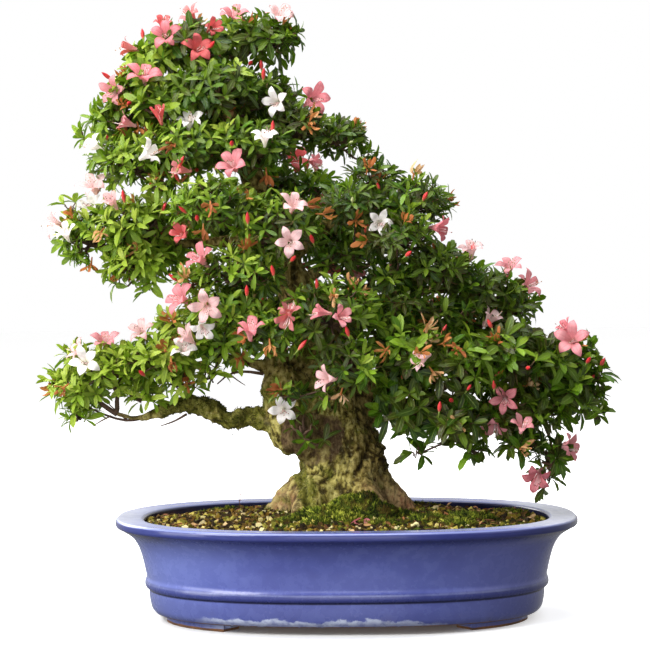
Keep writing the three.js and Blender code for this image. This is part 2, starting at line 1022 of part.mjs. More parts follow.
function backBlooms() {
  const random = randomFrom(41);
  const away = 600;
  const found = [];
  let angle = 0;
  for (const [z, middle, count] of backRows) {
    for (let number = 0; number < count; number += 1) {
      angle += goldenAngle;
      const facing = Math.PI * (0.08 + 0.84 * ((angle / Math.PI) % 1));
      const outward = new THREE.Vector3(Math.cos(facing), Math.sin(facing), 0);
      const height = z + (random() - 0.5) * 50;
      const from = new THREE.Vector3(middle, crownDepth.front, height).addScaledVector(outward, away);
      const hit = crownHit(from, outward.clone().negate());
      const draw = random();
      const colour = ['pink', 'coral', 'pale', 'white'][Math.floor(draw * 4)];
      if (hit && hit.distance < away - crownDepth.least) {
        const axis = skinNormal(hit.lump, hit.point).addScaledVector(outward, 0.4).normalize();
        found.push({ hit, axis, colour, own: number === 0 });
      }
    }
  }
  return found;
}

const random = randomFrom(7);

// Blooms that lie too close to one that is already placed are left out.
const blooms = [];
for (const found of [...frontBlooms.map(bloomFromFront), ...backBlooms()]) {
  const face = found.hit.point.clone().addScaledVector(found.axis, bloom.standOff);
  const room = bloom.petalLength * (found.own ? 2.02 : 1.7);
  if (blooms.every((other) => other.face.distanceTo(face) > room)) {
    blooms.push({ ...found, face, spin: random() * Math.PI * 2, bough: found.hit.lump.bough });
  }
}

function bloomSolid(flower, extra) {
  return starSolid(bloomShape, flower.face, flower.axis, flower.spin, extra);
}

// ---------------------------------------------------------------- whorls of leaves

// Even points over a lump's skin.
function skinPoints(lump, count) {
  const points = [];
  for (let number = 0; number < count; number += 1) {
    const z = 1 - (2 * number + 1) / count;
    const ring = Math.sqrt(1 - z * z);
    const angle = number * goldenAngle + lump.centre.x;
    const direction = new THREE.Vector3(Math.cos(angle) * ring, Math.sin(angle) * ring, z);
    points.push(direction.multiply(lump.core).add(lump.centre));
  }
  return points;
}

function clearOfLumps(point, own, others, margin) {
  return others.every((lump) => lump === own || depthIn(lump, point, margin) > 1);
}

function clearOfWood(point, margin) {
  return woodAxis.every((ring) => ring.centre.distanceTo(point) > ring.radius + margin);
}

// The tips and shoulders that a whorl would have, to test where they come.
function whorlReach(centre, axis) {
  const directions = 8;
  const points = [];
  for (let turn = 0; turn < directions; turn += 1) {
    const angle = (turn / directions) * Math.PI * 2;
    points.push(starPoint(centre, axis, whorlShape.tipRadius, angle, whorlShape.tipHeight));
    points.push(starPoint(centre, axis, whorlShape.tipRadius / 2, angle, whorlShape.shoulderHeight));
  }
  return points;
}

// Where the crown's middle is at a height.
function crownMiddle(z) {
  const share = THREE.MathUtils.clamp((z - 290) / 380, 0, 1);
  return new THREE.Vector3(THREE.MathUtils.lerp(0, -150, share), 5, z);
}

// Whorls grow from even points of every lump's skin, apart from where they would face into the crown or
// the ground, or crowd a neighbour, a bloom or a branch.
const whorls = [];
const triedPoints = 70;
for (const lump of lumps) {
  const foreign = lumps.filter((other) => other.bough !== lump.bough);
  for (const point of skinPoints(lump, triedPoints)) {
    const axis = skinNormal(lump, point);
    const outward = point.clone().sub(crownMiddle(point.z)).normalize();
    const hidden = axis.z < -0.7 || (axis.z < 0.7 && outward.dot(axis) < 0.05);
    axis.z += 0.25;
    axis.normalize();
    const centre = point.clone().addScaledVector(axis, leaf.standOff);
    const spaced = whorls.every((other) => {
      const share = other.bough === lump.bough ? leaf.withinBough : leaf.betweenBoughs;
      return other.centre.distanceTo(centre) > leaf.spacing * share;
    });
    const bloomRoom = leaf.spacing * leaf.toBloom;
    const offBlooms = blooms.every((flower) => flower.face.distanceTo(centre) > bloomRoom);
    if (
      !hidden &&
      spaced &&
      offBlooms &&
      clearOfLumps(point, lump, lumps, 1) &&
      clearOfWood(centre, leaf.toWood) &&
      whorlReach(centre, axis).every((reach) => clearOfLumps(reach, lump, foreign, 1.5))
    ) {
      whorls.push({ bough: lump.bough, centre, axis, spin: random() * Math.PI * 2 });
    }
  }
}

// ---------------------------------------------------------------- assembly

const bonsai = new THREE.Group();
const tree = new THREE.Group();
bonsai.add(tree);

function addPiece(name, solid, colour, roughness) {
  const material = new THREE.MeshStandardMaterial({ color: colour, roughness, metalness: 0 });
  const mesh = new THREE.Mesh(geometryOf(solid), material);
  mesh.name = name;
  tree.add(mesh);
}

const wood = woodSolid(0);
const woodAndGap = woodSolid(clearance);

addPiece('pot', makePot(), colours.glaze, 0.18);
addPiece('drain_screen_left', makeScreen(-1), colours.screen, 0.6);
addPiece('drain_screen_right', makeScreen(1), colours.screen, 0.6);
addPiece('soil', makeSoil(woodAndGap), colours.soil, 0.95);
addPiece('tree_wood', mainBody(wood), colours.bark, 0.85);

// Room is cut for each bloom, and between boughs, where these middles are near enough to meet.
const bloomGap = 0.5;
const lumpGap = 0.7;
const nearLump = 150;
const nearBloom = 120;
const ownBlooms = blooms.filter((flower) => flower.own);
const roomForBlooms = ownBlooms.map((flower) => ({ flower, solid: bloomSolid(flower, bloomGap) }));
const roomForLumps = lumps.map((lump) => ({ lump, solid: lumpSolid(lump, lumpGap) }));

// A bough gives way to those before it in the list, and its leaves to every neighbour.
function leafyBough(bough) {
  const own = lumps.filter((lump) => lump.bough === bough);
  const neighbours = roomForLumps.filter(
    ({ lump }) =>
      lump.bough !== bough && own.some((mine) => mine.centre.distanceTo(lump.centre) < nearLump),
  );
  const earlier = neighbours.filter(({ lump }) => lumps.indexOf(lump) < lumps.indexOf(own[0]));
  const cores = joined(own.map((lump) => lumpSolid(lump, 0)));
  const trimmed = cores.subtract(joined(earlier.map(({ solid }) => solid)));
  const leaves = whorls
    .filter((whorl) => whorl.bough === bough)
    .map((whorl) => starSolid(whorlShape, whorl.centre, whorl.axis, whorl.spin, 0));
  const flowers = blooms
    .filter((flower) => flower.bough === bough && !flower.own)
    .map((flower) => bloomSolid(flower, 0));
  const stars = joined([...leaves, ...flowers]).subtract(joined(neighbours.map(({ solid }) => solid)));
  const bloomRoom = roomForBlooms
    .filter(({ flower }) => own.some((lump) => lump.centre.distanceTo(flower.face) < nearBloom))
    .map(({ solid }) => solid);
  return mainBody(joined([trimmed, stars]).subtract(joined([woodAndGap, ...bloomRoom])));
}

for (const bough of Object.keys(boughs)) {
  addPiece(`foliage_${bough}`, leafyBough(bough), colours.leaf, 0.6);
}

const bloomNumbers = {};
for (const flower of ownBlooms) {
  bloomNumbers[flower.colour] = (bloomNumbers[flower.colour] ?? 0) + 1;
  const number = String(bloomNumbers[flower.colour]).padStart(2, '0');
  addPiece(`bloom_${flower.colour}_${number}`, bloomSolid(flower, 0), colours[flower.colour], 0.5);
}

const box = new THREE.Box3().setFromObject(tree);
const middle = box.getCenter(new THREE.Vector3());
tree.position.set(-middle.x, -middle.y, 0);

export default bonsai;
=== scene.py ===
# A satsuki azalea bonsai in its oval glazed pot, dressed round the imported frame.
# Tables are in millimetres round the pot's middle, meshes in metres in the frame. The front is -Y.
import math

import bpy
import numpy as np
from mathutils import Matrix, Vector, noise
from mathutils.kdtree import KDTree


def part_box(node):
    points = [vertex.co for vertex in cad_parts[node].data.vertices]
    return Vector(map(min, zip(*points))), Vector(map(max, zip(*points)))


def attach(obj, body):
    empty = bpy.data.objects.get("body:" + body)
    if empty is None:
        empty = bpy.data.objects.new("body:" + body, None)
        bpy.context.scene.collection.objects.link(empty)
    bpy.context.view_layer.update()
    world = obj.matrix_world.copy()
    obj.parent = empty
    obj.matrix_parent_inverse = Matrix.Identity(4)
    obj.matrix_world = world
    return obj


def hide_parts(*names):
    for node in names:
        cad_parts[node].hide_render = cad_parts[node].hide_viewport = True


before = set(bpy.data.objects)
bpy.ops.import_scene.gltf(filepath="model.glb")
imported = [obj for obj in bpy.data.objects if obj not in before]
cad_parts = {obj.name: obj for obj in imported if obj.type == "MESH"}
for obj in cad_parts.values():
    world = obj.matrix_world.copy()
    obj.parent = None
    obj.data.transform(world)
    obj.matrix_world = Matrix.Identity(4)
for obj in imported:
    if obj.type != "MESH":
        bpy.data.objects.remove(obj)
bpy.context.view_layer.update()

mm = 0.001
potLow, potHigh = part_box("pot")
potMiddle = np.array([(potLow.x + potHigh.x) / 2, (potLow.y + potHigh.y) / 2, 0.0])
goldenAngle = math.pi * (3 - math.sqrt(5))
upward = np.array([0.0, 0.0, 1.0])


def toFrame(points):
    # millimetres round the pot's middle to metres in the frame
    return np.asarray(points, float) * mm + potMiddle


def unit(vectors):
    vectors = np.asarray(vectors, float)
    return vectors / np.maximum(np.linalg.norm(vectors, axis=-1, keepdims=True), 1e-12)


def linear(red, green, blue):
    # a colour as a screen shows it, 0 to 255, for a shader
    def channel(value):
        value /= 255
        return value / 12.92 if value <= 0.04045 else ((value + 0.055) / 1.055) ** 2.4
    return channel(red), channel(green), channel(blue), 1.0


def roughness(points, size, seed=0.0, octaves=3):
    # soft noise of about -1 to 1 at each point, its lumps about size metres across
    shift = Vector((seed * 7.31, seed * 3.17, seed * 5.73))
    return np.array([noise.fractal(Vector(p) / size + shift, 0.6, 2.0, octaves) for p in points])


def randomFrom(seed):
    # mulberry32, the small generator that the solids' blooms are turned by
    state = seed

    def draw():
        nonlocal state
        state = (state + 0x6D2B79F5) & 0xFFFFFFFF
        mixed = ((state ^ (state >> 15)) * (1 | state)) & 0xFFFFFFFF
        added = (mixed + (((mixed ^ (mixed >> 7)) * (61 | mixed)) & 0xFFFFFFFF)) & 0xFFFFFFFF
        mixed ^= added
        return ((mixed ^ (mixed >> 14)) & 0xFFFFFFFF) / 4294967296

    return draw


def turns(count):
    # a full turn in even steps
    return np.arange(count) / count * 2 * math.pi


def around(side, across, angle):
    return side * np.cos(angle)[..., None] + across * np.sin(angle)[..., None]


def ringOf(side, across, angle, reach):
    # round one middle, where around goes round many
    return np.outer(np.cos(angle) * reach, side) + np.outer(np.sin(angle) * reach, across)


def bell(*parts):
    # 1 where every part is 0, and soon nothing away from there
    return np.exp(-sum(part ** 2 for part in parts))


def fade(value, low, high):
    # 0 at low and 1 at high, which may be the lower number
    return np.clip((value - low) / (high - low), 0, 1)


# meshes

def setMark(mesh, name, values):
    layer = mesh.attributes.new(name, "FLOAT", "POINT")
    layer.data.foreach_set("value", np.asarray(values, np.float32))


def vectorsOf(things, what):
    found = np.empty(len(things) * 3, np.float32)
    things.foreach_get(what, found)
    return found.reshape(-1, 3).astype(float)


class Pile:
    # gathers points, faces and marks, which are numbers at each point, and makes one object of them
    def __init__(self, *marks):
        self.points, self.corners, self.sizes, self.slots = [], [], [], []
        self.marks = {name: [] for name in marks}
        self.count = 0

    def add(self, points, faces, slot=0, **marks):
        points = np.asarray(points, float).reshape(-1, 3)
        faces = np.asarray(faces, int)
        self.points.append(points)
        self.corners.append((faces + self.count).ravel())
        self.sizes.append(np.full(len(faces), faces.shape[1]))
        self.slots.append(np.full(len(faces), slot))
        for name, values in self.marks.items():
            # a mark is one number, or one for each blade or tube, or one for each point
            given = np.asarray(marks.get(name, 0.0), float).ravel()
            values.append(np.repeat(given, len(points) // len(given)))
        self.count += len(points)

    def addTubes(self, paths, radii, sides, slot=0, **marks):
        points, faces = tubes(paths, radii, sides)
        self.add(toFrame(points), faces, slot, **marks)

    def addBlades(self, *shape, slot=0, **marks):
        points, faces, along, across = blades(*shape)
        self.add(toFrame(points), faces, slot, **{"along": along, "across": across, **marks})

    def make(self, name, *materials, smooth=True):
        points = np.concatenate(self.points)
        corners = np.concatenate(self.corners)
        sizes = np.concatenate(self.sizes)
        mesh = bpy.data.meshes.new(name)
        mesh.vertices.add(len(points))
        mesh.vertices.foreach_set("co", points.astype(np.float32).ravel())
        mesh.loops.add(len(corners))
        mesh.loops.foreach_set("vertex_index", corners.astype(np.int32))
        mesh.polygons.add(len(sizes))
        mesh.polygons.foreach_set("loop_start", (np.cumsum(sizes) - sizes).astype(np.int32))
        mesh.polygons.foreach_set("material_index", np.concatenate(self.slots).astype(np.int32))
        mesh.polygons.foreach_set("use_smooth", np.full(len(sizes), smooth))
        for mark, values in self.marks.items():
            setMark(mesh, mark, np.concatenate(values))
        for material in materials:
            mesh.materials.append(material)
        mesh.update()
        mesh.validate()
        piece = bpy.data.objects.new(name, mesh)
        bpy.context.scene.collection.objects.link(piece)
        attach(piece, "root")
        return piece


def ringFaces(rings, sides):
    # quads between rings of points, each ring of as many sides
    first = np.arange(rings - 1)[:, None] * sides
    side = np.arange(sides)[None, :]
    following = (side + 1) % sides
    above = first + sides
    quads = np.stack([first + side, first + following, above + following, above + side], -1)
    return quads.reshape(-1, 4)


def tubes(paths, radii, sides):
    # a closed tube along each path: paths [n, k, 3], radii [n, k]. Gives points and triangles.
    paths = np.asarray(paths, float)
    radii = np.broadcast_to(np.asarray(radii, float), paths.shape[:2])
    count, steps = paths.shape[:2]
    along = unit(np.gradient(paths, axis=1))
    whole = unit(paths[:, -1] - paths[:, 0])
    helper = np.where(np.abs(whole[:, 2:3]) > 0.8, [[1.0, 0.0, 0.0]], [[0.0, 0.0, 1.0]])
    side = unit(np.cross(along, helper[:, None, :]))
    across = np.cross(along, side)
    ring = around(side[:, :, None], across[:, :, None], turns(sides))
    points = paths[:, :, None] + ring * radii[:, :, None, None]
    quads = ringFaces(steps, sides)
    body = np.concatenate([quads[:, [0, 1, 2]], quads[:, [0, 2, 3]]])
    fan = np.stack([np.zeros(sides - 2, int), np.arange(2, sides), np.arange(1, sides - 1)], -1)
    lid = fan[:, ::-1] + (steps - 1) * sides
    one = np.concatenate([body, fan, lid])
    faces = one[None] + (np.arange(count) * steps * sides)[:, None, None]
    return points.reshape(-1, 3), faces.reshape(-1, 3)


def curve(start, middle, end, t):
    # from start at t = 0 to end at t = 1, drawn towards the middle
    return start * (1 - t) ** 2 + middle * 2 * t * (1 - t) + end * t ** 2


def bent(start, end, leave, steps):
    # paths from start to end, each arriving along its leave direction
    length = np.linalg.norm(end - start, axis=1, keepdims=True)
    middle = end - leave * length * 0.65
    t = np.linspace(0, 1, steps)[None, :, None]
    return curve(start[:, None], middle[:, None], end[:, None], t)


# shaders

def reckon(operation, swapped=False):
    # an operator of Wire. It is swapped where the plain number comes first.
    def work(wire, other):
        return wire.paint.sum(operation, *((other, wire) if swapped else (wire, other)))
    return work


class Wire:
    # a socket that takes part in Python expressions
    def __init__(self, paint, socket):
        self.paint = paint
        self.socket = socket

    __add__, __radd__ = reckon("ADD"), reckon("ADD", True)
    __sub__, __rsub__ = reckon("SUBTRACT"), reckon("SUBTRACT", True)
    __mul__, __rmul__ = reckon("MULTIPLY"), reckon("MULTIPLY", True)
    __truediv__, __rtruediv__ = reckon("DIVIDE"), reckon("DIVIDE", True)


class Paint:
    # one material or world, and the nodes that it is made of. Colours are as a screen shows them.
    def __init__(self, name, owners=None, surface="Principled BSDF"):
        self.material = (bpy.data.materials if owners is None else owners).new(name)
        self.material.use_nodes = True
        self.tree = self.material.node_tree
        self.surface = self.tree.nodes[surface]

    def put(self, socket, value):
        if isinstance(value, Wire):
            self.tree.links.new(value.socket, socket)
        elif socket.type == "RGBA" and len(value) == 3:
            socket.default_value = linear(*value)
        else:
            socket.default_value = value

    def node(self, kind, settings=None, sockets=None, out=0):
        made = self.tree.nodes.new(kind)
        for name, value in (settings or {}).items():
            if name == "stops":
                ramp = made.color_ramp
                while len(ramp.elements) < len(value):
                    ramp.elements.new(0.5)
                for element, (place, *colour) in zip(ramp.elements, value):
                    element.position = place
                    element.color = linear(*colour)
            else:
                setattr(made, name, value)
        for name, value in (sockets or {}).items():
            self.put(made.inputs[name], value)
        return Wire(self, made.outputs[out])

    def sum(self, operation, first, second):
        return self.node("ShaderNodeMath", {"operation": operation}, {0: first, 1: second})

    def least(self, first, second):
        return self.sum("MINIMUM", first, second)

    def most(self, first, second):
        return self.sum("MAXIMUM", first, second)

    def size(self, value):
        return self.sum("ABSOLUTE", value, 0.0)

    def wave(self, value):
        return self.sum("SINE", value, 0.0)

    def place(self, x=1.0, y=1.0, z=1.0):
        spot = self.node("ShaderNodeTexCoord", out="Object")
        return self.node("ShaderNodeVectorMath", {"operation": "MULTIPLY"}, {0: spot, 1: (x, y, z)})

    def parts(self, vector):
        made = self.tree.nodes.new("ShaderNodeSeparateXYZ")
        self.put(made.inputs[0], vector)
        return [Wire(self, output) for output in made.outputs]

    def clouds(self, scale, detail=4.0, coarse=0.55, at=None, warp=0.0):
        return self.node("ShaderNodeTexNoise", None, {
            "Vector": at or self.place(), "Scale": scale, "Detail": detail, "Roughness": coarse,
            "Distortion": warp,
        })

    def cells(self, scale):
        return self.node("ShaderNodeTexVoronoi", None, {"Vector": self.place(), "Scale": scale})

    def rise(self, value, low, high):
        # 0 below low, 1 above high and smooth between. low may be the higher number.
        return self.node("ShaderNodeMapRange", {"interpolation_type": "SMOOTHSTEP"}, {
            "Value": value, "From Min": low, "From Max": high,
        })

    def mark(self, name):
        return self.node("ShaderNodeAttribute", {"attribute_name": name}, None, "Fac")

    def blend(self, first, second, share):
        return self.node("ShaderNodeMix", {"data_type": "RGBA"}, {0: share, 6: first, 7: second}, 2)

    def coats(self, colour, *coats):
        # each coat is a colour and the share of it that covers what lies under it
        for over, share in coats:
            colour = self.blend(colour, over, share)
        return colour

    def ramp(self, value, stops):
        # each stop is a place and its red, green and blue
        return self.node("ShaderNodeValToRGB", {"stops": stops}, {"Fac": value})

    def bump(self, height, depth, strength=1.0):
        sockets = {"Height": height, "Distance": depth, "Strength": strength}
        return self.node("ShaderNodeBump", None, sockets)

    def finish(self, **sockets):
        for name, value in sockets.items():
            self.put(self.surface.inputs[name.replace("_", " ")], value)
        return self.material

    def letThrough(self, share, colour):
        # mixes in a share of light that shines through a thin blade
        through = self.node("ShaderNodeBsdfTranslucent", None, {"Color": colour})
        mixed = self.node("ShaderNodeMixShader", None, {
            0: share, 1: Wire(self, self.surface.outputs[0]), 2: through,
        })
        self.put(self.tree.nodes["Material Output"].inputs["Surface"], mixed)
        return self.material


# camera, lights and floor

view = {
    "place": (-24, -2640, 404),
    "shownTo": (-24, -2640, 379),  # the blooms are placed as this point sees them
    "lens": 121.8,
    "tiltDown": 1.19,
    "roll": -0.4,
}
studio = {
    "floorSize": 30.0,
    "floorShade": 0.95,
    "floorGlow": 0.74,
    # the painted shadow under the pot, where the floor has no glow, reaches this far
    "underPot": (205, 190),  # half length and half depth, in millimetres, of where it has no glow
    "backdrop": 1.0,
    "sky": 0.2,
    "shine": 0.85,
    # name: (place, size, watts, what it looks at)
    "lamps": {
        "key": ((-2.1, -2.1, 2.2), 1.6, 125, (0, 0, 0.35)),
        "top": ((-0.4, -0.1, 3.0), 2.0, 110, (0, 0, 0.3)),
        "side": ((-2.7, -1.3, 0.7), 1.8, 52, (0, 0, 0.15)),
        "low": ((0.0, -3.0, 0.6), 1.6, 16, (0, 0, 0.1)),
        "bounce": ((-0.2, -1.1, 0.03), 1.2, 3, (0, 0, 0.22)),
        "fill": ((2.6, -1.6, 1.2), 1.8, 8, (0, 0, 0.3)),
        "back": ((-1.9, 2.3, 1.8), 1.8, 60, (-0.1, 0, 0.4)),
    },
}


def aim(thing, target):
    thing.rotation_euler = (Vector(target) - thing.location).to_track_quat("-Z", "Y").to_euler()


def makeStage():
    scene = bpy.context.scene
    scene.view_settings.view_transform = "Standard"
    # the paper behind is white, gives little of the light, and shines back from what is smooth
    paper = Paint("studio", bpy.data.worlds, "Background")
    _, y, z = paper.parts(paper.node("ShaderNodeTexCoord", out="Generated"))
    shine = paper.most(y * 0.6 + 0.4, 0.0) * paper.least(paper.most(z * 1.1 + 0.5, 0.0), 1.0)
    shine = shine * studio["shine"] * paper.node("ShaderNodeLightPath", out="Is Glossy Ray")
    seen = paper.node("ShaderNodeLightPath", out="Is Camera Ray")
    seen = seen * (studio["backdrop"] - studio["sky"])
    scene.world = paper.finish(Strength=shine + seen + studio["sky"], Color=(255, 255, 255))
    for name, (place, size, watts, target) in studio["lamps"].items():
        lamp = bpy.data.lights.new(name, "AREA")
        lamp.size = size
        lamp.energy = watts
        thing = bpy.data.objects.new(name, lamp)
        thing.location = place
        aim(thing, target)
        scene.collection.objects.link(thing)

    half = studio["floorSize"] / 2
    floor = bpy.data.meshes.new("floor")
    corners = [(-half, -half, 0), (half, -half, 0), (half, half, 0), (-half, half, 0)]
    floor.from_pydata(corners, [], [(0, 1, 2, 3)])
    shade = studio["floorShade"]
    paint = Paint("floor")
    x, y, _ = paint.parts(paint.place(1000, 1000, 1000))
    # painted shadow: it gives no light of its own under the pot, so that it is darker there
    x, y = x / studio["underPot"][0], y / studio["underPot"][1]
    glow = paint.blend((0.04, 0.04, 0.04, 1), (1, 1, 1, 1), paint.rise(x * x + y * y, 0.9, 1.7))
    floor.materials.append(paint.finish(
        Base_Color=(shade, shade, shade, 1), Roughness=0.75, Emission_Color=glow,
        Emission_Strength=studio["floorGlow"],
    ))
    ground = bpy.data.objects.new("floor", floor)
    ground.visible_diffuse = ground.visible_glossy = False
    scene.collection.objects.link(ground)

    camera = bpy.data.objects.new("camera", bpy.data.cameras.new("camera"))
    camera.data.lens = view["lens"]
    camera.data.sensor_width = 36
    camera.data.clip_end = 50
    camera.location = toFrame(view["place"])
    camera.rotation_mode = "ZXY"
    camera.rotation_euler = (math.radians(90 - view["tiltDown"]), 0, math.radians(view["roll"]))
    scene.collection.objects.link(camera)
    scene.camera = camera


makeStage()
print("stage is set")

# pot

pot = {
    "rimHalfLength": 276,
    "depthShortfall": 69,
    "ovalPower": 2.4,
    "rimTop": 121.8,
    "floorTop": 22,
    "footHeight": 8.5,
    "footHalfLength": 219,
    "footWidth": 26,
    "drainSpread": 95,
    "drainRadius": 14,
    "drainSides": 32,
    "sides": 176,
    "mouth": 241.5,  # half length of the opening inside the lip
    # the middle of the wall, to tell its inside from its outside
    "wallHeights": [60, 100, 112],
    "wallMiddles": [237, 248.5, 246.5],
}
# half length and height, from under the floor up the outside and down the inside, with how much
# each corner is rounded
potSection = [
    (120, 8.5, 0), (223, 8.5, 0), (229, 9.6, 2.5), (233.6, 15, 5), (236.2, 26, 6), (236.8, 38, 1.2),
    (240.4, 40, 1.2), (241.8, 43, 1.8), (241.4, 47.5, 2), (239.3, 52, 4), (241, 60, 8),
    (244, 74, 10), (248.8, 89, 8), (256.5, 101, 6), (268, 108.5, 4), (275.2, 112.3, 1.8),
    (276, 114.4, 1.5), (276, 119.2, 2), (273.5, 121.8, 2), (258, 121.2, 3), (246, 121.4, 2),
    (241.5, 119, 2), (243, 100, 6), (228, 40, 8), (215, 22, 4), (150, 22, 0),
]


def ovalAt(halfLength, angle):
    halfDepth = halfLength - pot["depthShortfall"]
    cosine, sine = np.cos(angle), np.sin(angle)
    power = 2 / pot["ovalPower"]
    x = np.sign(cosine) * np.abs(cosine) ** power * halfLength
    y = np.sign(sine) * np.abs(sine) ** power * halfDepth
    return np.stack([x, y], -1)


def evenAngles(count):
    # angles that give even steps round the oval
    fine = np.linspace(0, 2 * math.pi, 4001)
    steps = np.linalg.norm(np.diff(ovalAt(pot["rimHalfLength"], fine), axis=0), axis=1)
    gone = np.concatenate([[0], np.cumsum(steps)])
    return np.interp(np.arange(count) / count * gone[-1], gone, fine)


def ringAt(halfLength, angles, z):
    return np.column_stack([ovalAt(halfLength, angles), np.full(len(angles), z)])


def rounded(section, steps=5):
    # an outline whose corners are turned into short curves
    points = [np.array(section[0][:2], float)]
    for before, corner, after in zip(section, section[1:], section[2:]):
        here = np.array(corner[:2], float)
        back, on = np.array(before[:2]) - here, np.array(after[:2]) - here
        cut = min(corner[2], 0.45 * np.linalg.norm(back), 0.45 * np.linalg.norm(on))
        start, end = here + unit(back) * cut, here + unit(on) * cut
        for t in np.linspace(0, 1, steps) if cut > 0 else [0.5]:
            points.append(curve(start, here, end, t))
    points.append(np.array(section[-1][:2], float))
    return np.array(points)


def solidOf(name, points, faces):
    mesh = bpy.data.meshes.new(name)
    corners = [tuple(int(i) for i in face) for face in faces]
    mesh.from_pydata([tuple(point) for point in toFrame(points)], [], corners)
    thing = bpy.data.objects.new(name, mesh)
    bpy.context.scene.collection.objects.link(thing)
    return thing


def dress(mesh, material):
    mesh.materials.clear()
    mesh.materials.append(material)


def smoothed(mesh):
    mesh.polygons.foreach_set("use_smooth", np.ones(len(mesh.polygons), bool))


def applied(thing):
    # the mesh with its modifiers in it
    evaluated = thing.evaluated_get(bpy.context.evaluated_depsgraph_get())
    shaped = bpy.data.meshes.new_from_object(evaluated)
    thing.modifiers.clear()
    old, thing.data = thing.data, shaped
    shaped.name = old.name
    bpy.data.meshes.remove(old)
    return shaped


def prism(rings):
    # points and faces of a solid between rings of points, closed at both ends
    sides, last = len(rings[0]), (len(rings) - 1) * len(rings[0])
    ends = [list(range(sides))[::-1], list(range(last, last + sides))]
    return np.concatenate(rings), [list(face) for face in ringFaces(len(rings), sides)] + ends


def footPrism(signX, signY, fromAngle, toAngle, inset, low):
    # one step of a cloud foot, from its rounded low edge up into the pot's floor
    steps = 22
    along = np.linspace(fromAngle, toAngle, steps)
    rings = []
    for shrink, z in ((1.3, low), (0.4, low + 0.5), (0, low + 1.6), (0, pot["footHeight"] + 3)):
        outer = ovalAt(pot["footHalfLength"] - inset - shrink, along)
        inner = ovalAt(pot["footHalfLength"] - pot["footWidth"] + inset + shrink, along[::-1])
        slip = shrink / 150 / (toAngle - fromAngle) * np.linspace(1, -1, steps)[:, None]
        outer, inner = outer + slip * (outer[-1] - outer[0]), inner - slip * (outer[-1] - outer[0])
        ring = np.concatenate([outer, inner]) * (signX, signY)
        rings.append(np.column_stack([ring, np.full(len(ring), z)]))
    points, faces = prism(rings)
    return points, [face[::-1] for face in faces] if signX * signY < 0 else faces


def drainPrism(side):
    turn, radius = turns(pot["drainSides"]), pot["drainRadius"]
    x = np.cos(turn) * radius + side * pot["drainSpread"]
    ring = np.column_stack([x, np.sin(turn) * radius])
    return prism([np.column_stack([ring, np.full(len(ring), z)]) for z in (2, 40)])


def inOval(x, y, halfLength):
    reach = np.abs(x) / halfLength, np.abs(y) / (halfLength - pot["depthShortfall"])
    return reach[0] ** pot["ovalPower"] + reach[1] ** pot["ovalPower"] < 1


def makePot():
    angles = evenAngles(pot["sides"])
    rings = [ringAt(half, angles, z) for half, z in rounded(potSection)]
    points = np.concatenate(rings + [[[0, 0, pot["footHeight"]]], [[0, 0, pot["floorTop"]]]])
    sides, last = pot["sides"], (len(rings) - 1) * pot["sides"]
    faces = [list(face) for face in ringFaces(len(rings), sides)]
    under, floor = len(points) - 2, len(points) - 1
    for side in range(sides):
        following = (side + 1) % sides
        faces.append([under, following, side])
        faces.append([floor, last + side, last + following])
    body = solidOf("pot_glazed", points, faces)

    tools = []
    for signX in (1, -1):
        for signY in (1, -1):
            tools.append(("UNION", footPrism(signX, signY, 0.25, 0.93, 0, 0)))
            tools.append(("UNION", footPrism(signX, signY, 0.2, 0.97, 2, 4.5)))
    tools += [("DIFFERENCE", drainPrism(side)) for side in (-1, 1)]
    for kind, solid in tools:
        tool = solidOf("tool", *solid)
        cut = body.modifiers.new("cut", "BOOLEAN")
        cut.operation = kind
        cut.object = tool
        cut.solver = "EXACT"
        applied(body)
        bpy.data.objects.remove(tool)
    mesh = body.data
    x, y, z = ((vectorsOf(mesh.vertices, "co") - potMiddle) / mm).T
    setMark(mesh, "inner", inOval(x, y, np.interp(z, pot["wallHeights"], pot["wallMiddles"])))
    smoothed(mesh)
    mesh.set_sharp_from_angle(angle=math.radians(38))
    dress(mesh, glazePaint())
    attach(body, "root")
    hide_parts("pot")


